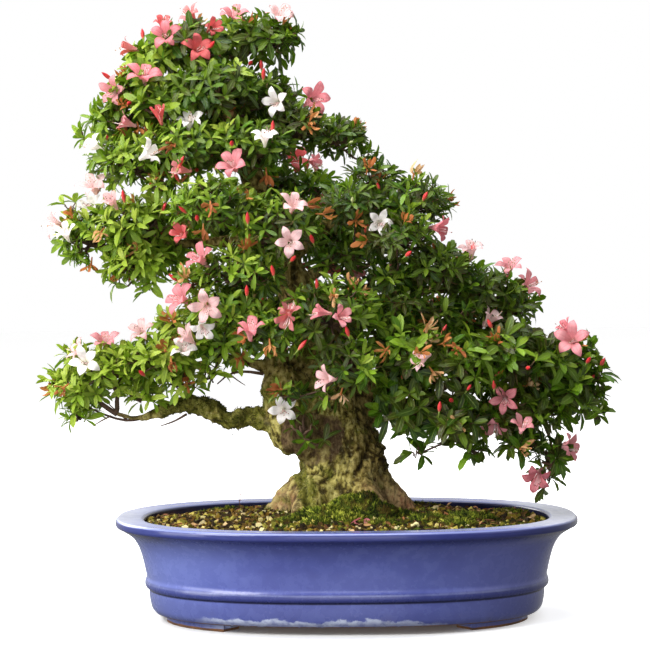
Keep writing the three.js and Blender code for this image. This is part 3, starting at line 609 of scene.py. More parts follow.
def glazePaint():
    paint = Paint("blue violet glaze")
    x, y, z = paint.parts(paint.place(1000, 1000, 1000))
    mottle, fine = paint.clouds(70, 5, 0.6), paint.clouds(420, 3, 0.6)
    runs = paint.clouds(1, 4, 0.6, at=paint.place(60, 60, 9))
    tone = paint.clouds(9, 3) * 0.4 + mottle * 0.4 + runs * 0.1 + fine * 0.1
    # deeper on the lip and on the band, where it ran thick
    thick = paint.most(
        paint.rise(z, 103, 111) * paint.rise(z, 121.2, 119.6),
        paint.rise(paint.size(z - 43), 7, 4) * 0.85,
    )
    # thin and pale on the edges, and a painted sheen, a near white highlight, on top of the lip's
    # ends
    onEdge = paint.most(
        paint.rise(paint.size(z - 120.4), 1.4, 0.3) * 0.5,
        paint.rise(paint.size(z - 47), 1.6, 0.4) * (mottle * 0.5),
    )
    paintedSheen = paint.rise(z, 120.2, 121.4) * paint.rise(paint.size(x), 190, 262) * (0.4 + runs * 0.5)
    # painted shade: a dark line under the band, and the inner wall painted dark, partly its own
    # dark glaze and partly shade
    inside = paint.rise(z, 121.4, 118.5) * paint.rise(z, 60, 90)
    inside = inside * paint.rise(paint.mark("inner"), 0.4, 0.6)
    paintedShade = paint.most(paint.rise(paint.size(z - 38), 2.0, 0.6) * 0.85, inside * 0.8)
    specks = paint.rise(paint.cells(260), 0.16, 0.06) * paint.rise(mottle, 0.5, 0.62)
    # lime that the water left along the foot of the front
    cloudy = paint.clouds(1, 7, 0.7, at=paint.place(34, 34, 60))
    front = paint.rise(y, -60, -110) * paint.rise(x, -160, -125) * paint.rise(x, 190, 60)
    under = z - (cloudy * 30 + 3 - paint.rise(x, 90, 170) * 8)
    lime = paint.rise(under, 0.8, -1.6) * (paint.rise(under, -10, -1) * 0.55 + 0.45) * front
    lime = lime * (paint.rise(paint.clouds(130, 5, 0.7), 0.32, 0.6) * 0.6 + 0.4)
    stain = paint.rise(paint.clouds(30, 4, 0.6), 0.55, 0.75) * paint.rise(z, 30, 10)
    glaze = paint.coats(
        paint.ramp(tone, [(0.36, 70, 78, 144), (0.5, 81, 90, 157), (0.64, 95, 105, 170)]),
        # painted light: it is paler towards the lit left end, and a painted reflection makes it
        # paler towards the right end
        ((124, 137, 194), paint.rise(x, -60, -260) * 0.5),
        ((106, 112, 178), paint.rise(x, 90, 230) * 0.6),
        ((32, 38, 100), thick * 0.85),
        ((150, 160, 206), onEdge),
        ((222, 226, 238), paintedSheen),
        ((26, 26, 52), paintedShade),
        ((40, 42, 96), specks * 0.6),
        ((62, 68, 116), paint.rise(z, 39, 30) * 0.35),
        ((184, 192, 210), lime * 0.85),
        ((90, 80, 92), stain * 0.4),
    )
    # bare clay where the pot stood in the kiln
    edge = 2.4 + mottle * 1.8
    bare = paint.most(
        paint.rise(z, edge + 0.4, edge - 0.4),
        paint.rise(paint.size(z - 9.3), 1.7, 1.0) * paint.rise(mottle, 0.34, 0.42) * 0.95,
    )
    clay = paint.ramp(mottle * 0.6 + fine * 0.4, [
        (0.3, 62, 40, 26), (0.55, 116, 78, 48), (0.75, 150, 108, 70),
    ])
    sheen = 0.2 + mottle * 0.14 + lime * 0.4 + bare * 0.55 - paint.rise(z, 110, 114) * 0.06
    relief = paint.bump(fine * 0.25 + mottle + lime * 0.5 + bare * fine, 0.0005, 0.35)
    return paint.finish(
        Base_Color=paint.blend(glaze, clay, bare), Roughness=sheen, Normal=relief, Coat_Weight=0.1,
        Coat_Roughness=0.1, IOR=1.45,
    )


makePot()
print("pot is thrown")


def dressScreens():
    paint = Paint("screen plastic")
    grain = paint.clouds(900, 3)
    paint.finish(
        Base_Color=paint.ramp(grain, [(0.3, 26, 30, 32), (0.7, 44, 50, 50)]),
        Roughness=0.45 + grain * 0.2, Normal=paint.bump(grain, 0.0002),
    )
    for name in ("drain_screen_left", "drain_screen_right"):
        dress(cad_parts[name].data, paint.material)


dressScreens()

# soil

soil = {
    "edgeDrop": 11,
    "moundHeight": 20,
    "backDrop": 16,
    "ripple": 1.4,
    # half length and height of the sides under the surface, which stand clear of the pot's wall
    "section": ((120, 22.4), (214.3, 22.4), (227.3, 40), (242.3, 100)),
    "surface": 240.9,
    "grains": 9000,
    "grainSize": (1.8, 4.6),
    "bits": 520,
    "flatBits": 110,
    "tufts": 16000,
}
trunkFoot = (-8, 0, 84, 66)  # x, y, half length and half depth of the ground that the roots cover


def soilHeight(x, y):
    back = y / (pot["rimHalfLength"] - pot["depthShortfall"])
    across = np.hypot(x / pot["rimHalfLength"], back)
    mound = np.maximum(0, 1 - across * across) ** 1.2
    ripple = np.sin(x * 0.061) * np.cos(y * 0.083 + x * 0.02)
    drop = soil["edgeDrop"] + soil["backDrop"] * np.maximum(0, back)
    return pot["rimTop"] - drop + soil["moundHeight"] * mound + soil["ripple"] * ripple


def crumbs(x, y):
    # small rises and dips of the soil, in millimetres
    spots = np.column_stack([x, y, np.zeros(len(x))])
    return roughness(spots, 16, 3) * 2.0 + roughness(spots, 5, 4)


def groundAt(x, y):
    return soilHeight(x, y) + crumbs(x, y)


def mossShare(x, y):
    # how mossy the ground is: little at the left, much at the right and round the roots
    patches = roughness(np.column_stack([x, y, np.full(len(x), 9.0)]), 34, 5)
    near = bell((x - 10) / 90, (y + 50) / 60)
    return np.clip(0.34 + 0.6 * patches + 0.002 * x + 0.75 * near, 0, 1)


def inPot(x, y, margin):
    return inOval(x, y, pot["mouth"] - margin)


def underTrunk(x, y, margin):
    middleX, middleY, halfLength, halfDepth = trunkFoot
    return np.hypot((x - middleX) / (halfLength + margin), (y - middleY) / (halfDepth + margin)) < 1


def scattered(draw, count, reach, fromWall, fromTrunk):
    # spots on the soil: twice the count, less those that are too near to the wall or the trunk
    halfDepth = reach - 68
    spots = draw.uniform((-reach, -halfDepth), (reach, halfDepth), (count * 2, 2))
    return spots[inPot(*spots.T, fromWall) & ~underTrunk(*spots.T, fromTrunk)]


def makeSoil():
    sides = pot["sides"]
    angles = evenAngles(sides)
    rings = [ringAt(half, angles, z) for half, z in soil["section"]]
    for share in np.linspace(1, 0.02, 62):
        x, y = (ovalAt(soil["surface"], angles) * share).T
        # it is even where it meets the wall
        height = soilHeight(x, y) + crumbs(x, y) * min(1, (1 - share) * 12)
        rings.append(np.column_stack([x, y, height]))
    points = np.concatenate(rings)
    pile = Pile("moss")
    pile.add(toFrame(points), ringFaces(len(rings), sides), moss=mossShare(*points[:, :2].T))
    for lid in (np.arange(sides)[::-1], np.arange(sides) + (len(rings) - 1) * sides):
        pile.corners.append(lid)
        pile.sizes.append(np.array([sides]))
        pile.slots.append(np.array([0]))
    piece = pile.make("soil_bed", soilPaint())
    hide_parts("soil")


def soilPaint():
    paint = Paint("dark soil")
    lumpy = paint.cells(210)
    drift = paint.clouds(60, 5, 0.65)
    earth = paint.ramp(drift * 0.6 + lumpy * 0.9, [
        (0.3, 26, 20, 12), (0.5, 58, 44, 24), (0.72, 110, 88, 46),
    ])
    green = paint.ramp(drift, [(0.35, 34, 46, 12), (0.65, 92, 108, 34)])
    ground = paint.blend(earth, green, paint.rise(paint.mark("moss") + drift * 0.5, 0.45, 0.85))
    return paint.finish(
        Base_Color=ground, Roughness=0.9, Normal=paint.bump(lumpy + drift * 0.5, 0.002, 0.8),
        Specular_IOR_Level=0.12,
    )


def grainPaint():
    paint = Paint("soil grains")
    grain = paint.clouds(900, 3)
    colour = paint.ramp(paint.mark("tone"), [
        (0.0, 22, 16, 6), (0.3, 56, 40, 14), (0.5, 118, 88, 26), (0.7, 104, 106, 24),
        (0.86, 192, 174, 84), (0.94, 226, 214, 160), (1.0, 150, 74, 24),
    ])
    colour = paint.blend(colour, (70, 56, 30), paint.rise(grain, 0.5, 0.7) * 0.5)
    return paint.finish(
        Base_Color=colour, Roughness=0.88, Normal=paint.bump(grain, 0.0006, 0.8),
        Specular_IOR_Level=0.2,
    )


def mossPaint():
    paint = Paint("moss")
    tone = paint.mark("tone") * 0.8 + paint.mark("tip") * 0.3
    colour = paint.ramp(tone, [
        (0.0, 9, 12, 2), (0.3, 27, 34, 6), (0.6, 70, 84, 16), (0.85, 136, 144, 42),
        (1.0, 186, 186, 80),
    ])
    dry = paint.rise(paint.clouds(55, 4, 0.6), 0.5, 0.62)
    return paint.finish(
        Base_Color=paint.blend(colour, (88, 70, 28), dry * 0.6), Roughness=0.8,
        Specular_IOR_Level=0.12,
    )


def debrisPaint():
    paint = Paint("dry bits")
    grain = paint.clouds(500, 3)
    colour = paint.ramp(paint.mark("tone"), [
        (0.0, 60, 34, 18), (0.4, 134, 76, 38), (0.7, 176, 128, 76), (1.0, 206, 178, 130),
    ])
    colour = paint.blend(colour, (70, 44, 26), paint.rise(grain, 0.5, 0.7) * 0.6)
    return paint.finish(Base_Color=colour, Roughness=0.8, Normal=paint.bump(grain, 0.0004))


cubeCorners = np.array([(x, y, z) for x in (-1, 1) for y in (-1, 1) for z in (-1, 1)], float)
cubeFaces = np.array([
    (0, 1, 3, 2), (4, 6, 7, 5), (0, 4, 5, 1), (2, 3, 7, 6), (0, 2, 6, 4), (1, 5, 7, 3),
])


def turned(draw, count):
    # random turns, as matrices
    first = unit(draw.normal(size=(count, 3)))
    second = unit(np.cross(first, draw.normal(size=(count, 3))))
    return np.stack([first, second, np.cross(first, second)], -1)


def makeGrains(draw):
    spots = scattered(draw, soil["grains"], 241, 4, -14)[:soil["grains"]]
    spots = spots[draw.uniform(size=len(spots)) > mossShare(*spots.T) * 0.8]
    count = len(spots)
    x, y = spots.T
    size = draw.uniform(*soil["grainSize"], count) * draw.choice([0.75, 1, 1.35], count)
    shape = cubeCorners[None] * draw.uniform(0.34, 0.6, (count, 1, 3))
    shape += draw.uniform(-0.16, 0.16, (count, 8, 3))
    shape = np.einsum("nij,nkj->nki", turned(draw, count), shape) * size[:, None, None]
    points = shape + np.column_stack([x, y, groundAt(x, y) + size * 0.12])[:, None]
    faces = cubeFaces[None] + (np.arange(count) * 8)[:, None, None]
    pile = Pile("tone")
    pile.add(toFrame(points), faces.reshape(-1, 4), tone=draw.uniform(size=count) ** 1.2)
    piece = pile.make("soil_grains", grainPaint(), smooth=False)


def tufts(pile, roots, leans, heights, widths, tones):
    # a leaning three-sided spike at each root
    count = len(roots)
    side = unit(np.cross(leans, np.roll(leans, 1, axis=1) + 0.1))
    across = np.cross(leans, side)
    ring = around(side[:, None], across[:, None], turns(3))
    foot = roots[:, None] + ring * widths[:, None, None] - leans[:, None] * widths[:, None, None]
    tip = (roots + leans * heights[:, None])[:, None]
    one = np.array([(0, 1, 3), (1, 2, 3), (2, 0, 3)])
    faces = one[None] + (np.arange(count) * 4)[:, None, None]
    pile.add(
        np.concatenate([foot, tip], 1), faces.reshape(-1, 3), tone=tones,
        tip=np.tile([0.0, 0.0, 0.0, 1.0], count),
    )


# low cushions of moss: x, y, half length, half depth, height, brightness
cushions = [
    (8, -72, 34, 26, 22, 0.75), (-22, -92, 28, 20, 13, 0.85), (34, -84, 30, 22, 15, 0.3),
    (-2, -104, 26, 16, 8, 0.95), (22, -72, 18, 16, 26, 0.45), (-44, -84, 18, 16, 10, 0.5),
    (60, -80, 20, 14, 7, 0.4), (-34, -116, 20, 10, 5, 0.6),
    (95, -95, 26, 16, 6, 0.6), (150, -60, 30, 18, 5, 0.5), (128, -112, 24, 12, 5, 0.8),
    (-60, -98, 26, 14, 5, 0.5), (40, -122, 30, 12, 4, 0.6), (200, 20, 22, 30, 5, 0.6),
    (90, 90, 50, 24, 6, 0.4), (-40, 110, 60, 20, 6, 0.4), (-150, 60, 30, 24, 4, 0.3),
]


def makeMoss(draw):
    pile = Pile("tone", "tip")
    spots = scattered(draw, soil["tufts"], 240, 3, -16)
    keep = draw.uniform(size=len(spots)) < np.clip(mossShare(*spots.T) * 1.5 - 0.42, 0.0, 1)
    x, y = spots[keep][:soil["tufts"]].T
    count = len(x)
    roots = np.column_stack([x, y, groundAt(x, y) + 0.3])
    lean = unit(draw.normal(size=(count, 3)) * 0.45 + upward)
    patch = roughness(roots, 12, 8)
    tone = np.clip(0.34 + 0.5 * patch + draw.uniform(-0.3, 0.3, count), 0, 1)
    heights, widths = draw.uniform(1.4, 3.4, count) * mm, draw.uniform(0.5, 1.0, count) * mm
    tufts(pile, toFrame(roots), lean, heights, widths, tone)
    for middleX, middleY, halfLength, halfDepth, height, bright in cushions:
        count = int(halfLength * halfDepth * 2.2)
        turn = draw.uniform(0, 2 * math.pi, count)
        out = np.sqrt(draw.uniform(0, 1, count))
        x = middleX + np.cos(turn) * out * halfLength
        y = middleY + np.sin(turn) * out * halfDepth
        dome = height * np.sqrt(np.maximum(0, 1 - out ** 2))
        lumps = roughness(np.column_stack([x, y, np.zeros(count)]), 7, 11) * 3.2
        roots = np.column_stack([x, y, soilHeight(x, y) + dome + lumps])
        outward = np.column_stack([np.cos(turn) * out, np.sin(turn) * out, np.ones(count) * 0.8])
        lean = unit(outward + draw.normal(size=(count, 3)) * 0.35)
        tone = np.clip(bright * 0.6 + lumps * 0.16 + draw.uniform(-0.3, 0.3, count), 0, 1)
        keep = inPot(x, y, 3)
        size = draw.uniform(1.8, 4.6, count) * mm
        tufts(pile, toFrame(roots)[keep], lean[keep], size[keep], size[keep] * 0.34, tone[keep])
    return pile


def makeCushionBeds():
    # the dark body of each moss cushion, under its tufts
    pile = Pile("moss")
    rings, sides = 7, 20
    turn, level = np.meshgrid(turns(sides), np.linspace(0, 1, rings), indexing="xy")
    out = np.cos(level * math.pi / 2 * 0.98)
    for middleX, middleY, halfLength, halfDepth, height, _ in cushions:
        x = middleX + np.cos(turn) * out * halfLength
        y = middleY + np.sin(turn) * out * halfDepth
        z = soilHeight(x, y) - 2 + np.sin(level * math.pi / 2) * (height + 1.4)
        spots = np.stack([x, y, z], -1).reshape(-1, 3)
        spots[:, 2] += roughness(spots * (1, 1, 0), 7, 11) * 2.6
        # what would stand in the wall is drawn in and sunk
        outside = ~inPot(*spots[:, :2].T, 3.5)
        spots[outside, 2] = soilHeight(*spots[outside, :2].T) - 3
        spots[outside, :2] *= 0.9
        pile.add(toFrame(spots), ringFaces(rings, sides), moss=1.0)
    piece = pile.make("moss_beds", bpy.data.materials["dark soil"])


def makeDebris(draw):
    # dry leaves, husks and bits of twig that lie on the soil
    x, y = scattered(draw, soil["bits"], 238, 12, 2)[:soil["bits"]].T
    count = len(x)
    base = np.column_stack([x, y, groundAt(x, y) + draw.uniform(0.8, 2.6, count)])
    turn = draw.uniform(0, 2 * math.pi, count)
    along = unit(np.column_stack([np.cos(turn), np.sin(turn), draw.uniform(-0.2, 0.25, count)]))
    length = draw.uniform(5, 16, count)[:, None, None]
    sag = draw.uniform(-0.12, 0.12, count)[:, None, None] * length
    t = np.linspace(-0.5, 0.5, 4)[None, :, None]
    side = unit(np.cross(along, upward))
    paths = base[:, None] + along[:, None] * t * length + side[:, None] * sag * (1 - 4 * t * t)
    radii = draw.uniform(0.3, 0.75, count)[:, None] * [0.7, 1, 1, 0.5]
    pile = Pile("tone")
    pile.addTubes(paths, radii, 3, tone=draw.uniform(0, 0.8, count))
    leaves = soil["flatBits"]
    flat = draw.choice(count, leaves, replace=False)
    pile.addBlades(
        base[flat] + (0, 0, 1), along[flat], unit(upward + draw.normal(size=(leaves, 3)) * 0.5),
        draw.uniform(7, 13, leaves), draw.uniform(1.6, 2.8, leaves),
        draw.uniform(-0.3, 0.4, leaves), 0.3, tone=draw.uniform(0.3, 1, leaves),
    )
    # a dry seedling stands at the back on the left
    stem = np.array([[-133, 141, 117], [-134, 141, 124], [-132, 141, 131], [-134, 140, 139]], float)
    pile.addTubes(stem[None], [[0.5, 0.45, 0.4, 0.3]], 4, tone=0.3)
    whorl = np.arange(7) * goldenAngle
    out = unit(np.column_stack([np.cos(whorl), np.sin(whorl), np.full(7, 0.3)]))
    foot = np.repeat(stem[1:3], [4, 3], axis=0)
    pile.addBlades(foot, out, np.tile(upward, (7, 1)), 5.0, 0.8, 0.3, 0.2, tone=0.35)
    piece = pile.make("dry_bits", debrisPaint())


# blades: leaves and petals by the thousand

bladeAlong = np.repeat([0.0, 0.22, 0.55, 0.84, 1.0], [1, 3, 3, 3, 1])
bladeWide = np.repeat([0.0, 0.52, 1.0, 0.8, 0.0], [1, 3, 3, 3, 1])
bladeAcross = np.array([0] + [-1, 0, 1] * 3 + [0], float)
bladeFaces = np.array([
    (0, 1, 2), (0, 2, 3), (1, 4, 5), (1, 5, 2), (2, 5, 6), (2, 6, 3), (4, 7, 8), (4, 8, 5),
    (5, 8, 9), (5, 9, 6), (7, 10, 8), (8, 10, 9),
])


def blades(base, along, up, length, halfWidth, droop, fold):
    # folded, arched blades, as points, faces and share along and across at each point
    count = len(base)
    side = unit(np.cross(along, up))
    normal = np.cross(side, along)
    t, s, w = (v[None, :, None] for v in (bladeAlong, bladeAcross, bladeWide))
    length, halfWidth, droop = (
        np.broadcast_to(v, count).astype(float)[:, None, None] for v in (length, halfWidth, droop)
    )
    arch = (0.35 * t - droop * t * t) * length * 0.5 + fold * halfWidth * w * np.abs(s)
    points = base[:, None] + along[:, None] * t * length + side[:, None] * s * w * halfWidth
    points = points + normal[:, None] * arch
    faces = bladeFaces[None] + (np.arange(count) * len(bladeAlong))[:, None, None]
    marks = np.tile(bladeAlong, count), np.tile(bladeAcross, count)
    return points.reshape(-1, 3), faces.reshape(-1, 3), *marks


soilDraw = np.random.default_rng(21)
makeSoil()
makeGrains(soilDraw)
makeCushionBeds()
makeDebris(soilDraw)
print("soil is in")

# wood

# from x, y to x, y, and the radius at the trunk
roots = [
    (-40, -4, -106, -14, 26), (26, -4, 94, -12, 28), (-30, -34, -66, -94, 22),
    (16, -38, 46, -96, 22), (-30, 34, -66, 98, 22), (18, 36, 58, 96, 22),
]


def rootLimb(fromX, fromY, toX, toY, radius):
    # share of the way, height, and share of the radius
    stages = ((0, 156, 1), (0.4, 137, 0.8), (0.74, 118, 0.6), (1, 100, 0.3))
    return 3, 0.06, [
        (fromX + (toX - fromX) * share, fromY + (toY - fromY) * share, z, radius * slim)
        for share, z, slim in stages
    ]


# Each limb has how many rings its knobs are counted by, how knobbly it is, and its course of
# [x, y, z, radius]. The first is the trunk.
limbs = [
    (16, 0.05, [
        (-8, 0, 100, 68), (-8, 0, 134, 61), (-5, 0, 158, 52), (-5, 0, 181, 50), (-6, 2, 205, 48),
        (-9, 4, 229, 42), (-8, 6, 259, 38), (-6, 8, 289, 34), (-24, 10, 331, 28),
        (-54, 10, 379, 23), (-78, 5, 440, 19), (-100, 0, 500, 16), (-120, -8, 559, 13),
        (-138, -6, 619, 10), (-150, 0, 672, 7),
    ]),
    *(rootLimb(*root) for root in roots),
    # second trunk, on the left
    (9, 0.07, [
        (-26, -12, 206, 26), (-60, -18, 222, 31), (-68, -20, 238, 29), (-70, -19, 257, 26),
        (-74, -17, 282, 24), (-80, -16, 306, 18), (-87, -14, 332, 12), (-99, -20, 362, 8),
        (-107, -24, 386, 5),
    ]),
    # wood that closes the fork between the two trunks
    (4, 0.05, [(-36, -4, 236, 34), (-42, -2, 270, 30), (-48, 2, 300, 23), (-54, 6, 324, 14)]),
    # long low branch to the left
    (13, 0.13, [
        (-60, -20, 228, 18), (-90, -20, 237, 13), (-113, -20, 239, 12), (-127, -20, 237, 13),
        (-143, -18, 239, 11.5), (-156, -16, 245, 12.5), (-168, -14, 251, 11), (-195, -10, 254, 11),
        (-212, -8, 250, 10), (-231, -10, 243, 6), (-251, -14, 240, 4), (-276, -18, 246, 3.4),
    ]),
    # branch above it
    (4, 0.1, [
        (-81, -16, 294, 12), (-99, -18, 301, 8), (-130, -28, 311, 5), (-170, -36, 318, 4),
        (-196, -38, 318, 3),
    ]),
    # right branches, from the lowest up
    (7, 0.09, [
        (2, 2, 236, 26), (25, 0, 259, 21), (42, -4, 276, 17), (68, -10, 290, 14),
        (104, -14, 299, 12), (149, -14, 304, 9), (197, -14, 298, 7), (222, -16, 290, 5),
    ]),
    (6, 0.05, [(190, -11, 300, 6), (218, -35, 262, 4.5), (240, -50, 215, 3), (243, -55, 190, 2.2)]),
    (3, 0.09, [
        (-18, 10, 316, 20), (8, 0, 350, 13), (39, -8, 372, 10), (78, -12, 388, 8),
        (146, -18, 392, 5),
    ]),
    (3, 0.09, [(-73, 6, 425, 12), (-32, 4, 461, 9), (8, 0, 482, 7), (56, -14, 490, 4.5)]),
    (3, 0.08, [(-111, -4, 538, 9), (-76, -2, 564, 6.5), (-40, -6, 578, 4.5)]),
    # left branches, from the lowest up
    (3, 0.09, [(-78, 4, 440, 12), (-121, 0, 450, 9), (-169, -10, 448, 7), (-236, -14, 446, 4.5)]),
    (3, 0.08, [(-111, -4, 538, 9), (-157, -18, 545, 7), (-216, -24, 542, 4.5)]),
    (3, 0.08, [(-133, -6, 600, 8), (-178, -12, 612, 5.5), (-220, -14, 616, 4)]),
    # branches towards the front
    (3, 0.08, [(-36, 10, 352, 13), (-60, -50, 356, 8), (-88, -95, 350, 5), (-110, -112, 356, 3)]),
    (3, 0.08, [(-78, 5, 440, 12), (-92, -50, 444, 8), (-104, -92, 446, 5), (-112, -108, 440, 3)]),
    (3, 0.08, [(-6, 6, 300, 14), (2, -50, 322, 8), (4, -90, 332, 5), (4, -108, 330, 3)]),
    (3, 0.08, [(60, -8, 288, 11), (84, -48, 290, 7), (104, -78, 284, 5), (112, -92, 276, 3)]),
    (4, 0.05, [(-110, -6, 545, 7), (-128, -38, 552, 5), (-146, -62, 558, 3)]),
    # twig to the spray in front of the trunk
    (3, 0, [(-40, -28, 212, 4), (-46, -48, 219, 3), (-52, -68, 230, 2)]),
    # branches towards the back
    (3, 0.08, [(-120, -6, 560, 9), (-130, 30, 580, 7), (-146, 60, 602, 5), (-156, 74, 618, 3)]),
    (3, 0.08, [(-88, 2, 468, 12), (-100, 60, 476, 8), (-120, 110, 470, 6), (-130, 140, 464, 3)]),
    (3, 0.08, [(-60, 8, 392, 12), (-36, 70, 412, 8), (-20, 120, 420, 5), (-10, 140, 424, 3)]),
    (3, 0.08, [(-14, 8, 310, 14), (-36, 70, 330, 9), (-58, 126, 340, 6), (-66, 156, 344, 3)]),
    (3, 0.08, [(42, -4, 276, 13), (76, 44, 302, 8), (104, 76, 314, 5), (124, 92, 316, 3)]),
]
bark = {
    "voxel": 1.9,
    "mostFaces": 112000,
    "mossTufts": 5200,
    "thickFrom": 15,  # radius from which a limb has the more sides
    "sides": (28, 14),
}


def courseAt(course, count):
    # a centripetal Catmull-Rom curve through the course, and its radius, at even shares of it
    spots = np.array([p[:3] for p in course], float)
    radii = [p[3] for p in course]
    ends = np.concatenate([[2 * spots[0] - spots[1]], spots, [2 * spots[-1] - spots[-2]]])
    found, widths = [], []
    for share in np.linspace(0, len(spots) - 1, count):
        span = min(int(share), len(spots) - 2)
        t = share - span
        p0, p1, p2, p3 = ends[span:span + 4]
        pairs = (p0, p1), (p1, p2), (p2, p3)
        d0, d1, d2 = (max(np.linalg.norm(b - a), 1e-6) ** 0.5 for a, b in pairs)
        t1 = ((p1 - p0) / d0 - (p2 - p0) / (d0 + d1) + (p2 - p1) / d1) * d1
        t2 = ((p2 - p1) / d1 - (p3 - p1) / (d1 + d2) + (p3 - p2) / d2) * d1
        c2, c3 = -3 * p1 + 3 * p2 - 2 * t1 - t2, 2 * p1 - 2 * p2 + t1 + t2
        found.append(p1 + t1 * t + c2 * t * t + c3 * t ** 3)
        eased = t * t * (3 - 2 * t)
        widths.append(radii[span] + (radii[span + 1] - radii[span]) * eased)
    return np.array(found), np.array(widths)


def limbSkin(limb, sides):
    counted, knob, course = limb
    length = sum(math.dist(a[:3], b[:3]) for a, b in zip(course, course[1:]))
    count = max(6, int(length / 5))
    centres, radii = courseAt(course, count)
    along = unit(np.gradient(centres, axis=0))
    side = np.array([0.0, 1.0, 0.0])
    angle = turns(sides)
    rings = []
    for number in range(count):
        side = unit(side - along[number] * side.dot(along[number]))
        ring = number / (count - 1) * counted
        lump = np.sin(3 * angle + ring * 0.7) + 0.7 * np.sin(2 * angle - ring * 1.9)
        reach = radii[number] * (1 + knob * lump)
        rings.append(centres[number] + ringOf(side, np.cross(along[number], side), angle, reach))
    rings.insert(0, rings[0] * 0.3 + centres[0] * 0.7 - along[0] * radii[0] * 0.3)
    rings.append(rings[-1] * 0.4 + centres[-1] * 0.6 + along[-1] * radii[-1] * 0.6)
    return np.concatenate(rings), ringFaces(len(rings), sides), centres, radii


def treeOf(spots):
    tree = KDTree(len(spots))
    for number, spot in enumerate(spots):
        tree.insert(Vector(spot), number)
    tree.balance()
    return tree


def makeWood():
    points, faces, count = [], [], 0
    centres, radii = [], []
    for limb in limbs:
        firstRadius = limb[2][0][3]
        sides = bark["sides"][0 if firstRadius > bark["thickFrom"] else 1]
        skin, quads, middle, width = limbSkin(limb, sides)
        points.append(skin)
        faces += [list(f + count) for f in quads]
        last = count + len(skin) - sides
        faces += [[*range(count + sides - 1, count - 1, -1)], [*range(last, last + sides)]]
        count += len(skin)
        centres.append(middle)
        radii.append(width)
    centres, radii = np.concatenate(centres), np.concatenate(radii)
    wood = solidOf("tree_bark", np.concatenate(points), faces)
    remesh = wood.modifiers.new("skin", "REMESH")
    remesh.mode = "VOXEL"
    remesh.voxel_size = bark["voxel"] * mm
    remesh.use_smooth_shade = True
    smooth = wood.modifiers.new("soft", "SMOOTH")
    smooth.factor = 0.7
    smooth.iterations = 6
    mesh = applied(wood)

    spots = (vectorsOf(mesh.vertices, "co") - potMiddle) / mm
    normals = vectorsOf(mesh.vertex_normals, "vector")
    x, y, z = spots.T
    tree = treeOf(centres)
    width = np.array([radii[tree.find(Vector(p))[1]] for p in spots])
    swell = roughness(spots * (1, 1, 0.6), 34, 1, 2)
    ridge = 1 - np.abs(roughness(spots * (1, 1, 0.38), 15, 2, 3)) * 2.2
    flakes = roughness(spots * (1, 1, 0.7), 5.5, 3, 3)
    pits = np.clip(roughness(spots, 9, 4, 2) - 0.25, 0, 1)
    reach = np.clip(width, 3, 40)
    push = swell * reach * 0.12 + ridge * (0.6 + reach * 0.034) + flakes * (0.35 + reach * 0.02)
    push -= pits * reach * 0.12
    # flutes run down the foot of the trunk
    flutes = np.sin(np.arctan2(y, x + 8) * 7 + 2.4 * swell)
    push += fade(z, 200, 120) * 3.4 * flutes * np.clip(1 - np.abs(normals[:, 2]), 0, 1)
    # the hollow between the two trunks, with a smaller one on its right
    smaller = bell((x - 16 - (z - 180) * 0.4) / 5, (z - 192) / 26)
    hollow = bell((x + 14) / 15, (z - 216) / 22) + smaller * 0.5
    hollow *= np.clip(-normals[:, 1] * 2, 0, 1)
    # the cleft beside the left root, and burrs on the right edge
    fromCleft = x + 57 - (175 - z) * 0.39
    cleft = bell(fromCleft / 5) * fade(z, 204, 194) * (y < 10)
    burrs = bell((x - 44) / 14, (z - 194) / 24) * np.clip(0.25 + roughness(spots, 7, 12, 2), 0, 1)
    push += burrs * 9 - 1.2 - hollow * 8 - cleft * 6
    # the long low branch is knobbly
    onBranch = fade(x, -84, -104) * fade(x, -236, -196) * fade(z, 285, 270)
    knobs = np.clip(roughness(spots, 17, 21, 2), -0.3, 1) * 7 + roughness(spots, 7, 22, 2) * 1.8
    pushed = spots + normals * (push + onBranch * knobs)[:, None]
    mesh.vertices.foreach_set("co", toFrame(pushed).astype(np.float32).ravel())
    mesh.update()
    # tufts of moss are rooted along the new normals
    normals = vectorsOf(mesh.vertex_normals, "vector")
    tuftSpots = spots + normals * (push + onBranch * knobs)[:, None]

    # moss keeps to the tops and hollows, the left side and the long low branch
    patch = roughness(spots, 30, 6, 3)
    moss = 0.08 + patch * 0.7 + normals[:, 2] * 0.3 - ridge * 0.2 + onBranch * 0.9 - x * 0.0015
    # a seam of it runs from under the left shoulder down to the soil
    seam = bell(fromCleft / 11) * fade(z, 206, 194) * (y < 10)
    foot = bell((x - 12) / 34) * fade(z, 158, 132) * (y < 0)
    moss = np.maximum(moss, np.maximum(seam, foot) * (0.9 + 0.4 * patch))
    moss = np.clip(moss, 0, 1) * fade(z, 430, 310)
    # painted shade: the hollow, the cleft and the pits are painted darker; the burrs are darker too
    dark = np.clip(hollow + cleft * 0.8 + burrs * 0.9, 0, 1)
    groove = 0.55 + flakes * 0.7 + ridge * 0.4 - pits * 1.4 - dark * 0.8
    setMark(mesh, "groove", np.clip(groove, 0, 1))
    setMark(mesh, "moss", moss)
    setMark(mesh, "young", np.clip(1 - width / 9, 0, 1))
    if len(mesh.polygons) * 2 > bark["mostFaces"]:
        thin = wood.modifiers.new("thin", "DECIMATE")
        thin.ratio = bark["mostFaces"] / (len(mesh.polygons) * 2)
        mesh = applied(wood)
    smoothed(mesh)
    dress(mesh, barkPaint())
    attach(wood, "root")
    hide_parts("tree_wood")
    return tuftSpots, normals, moss


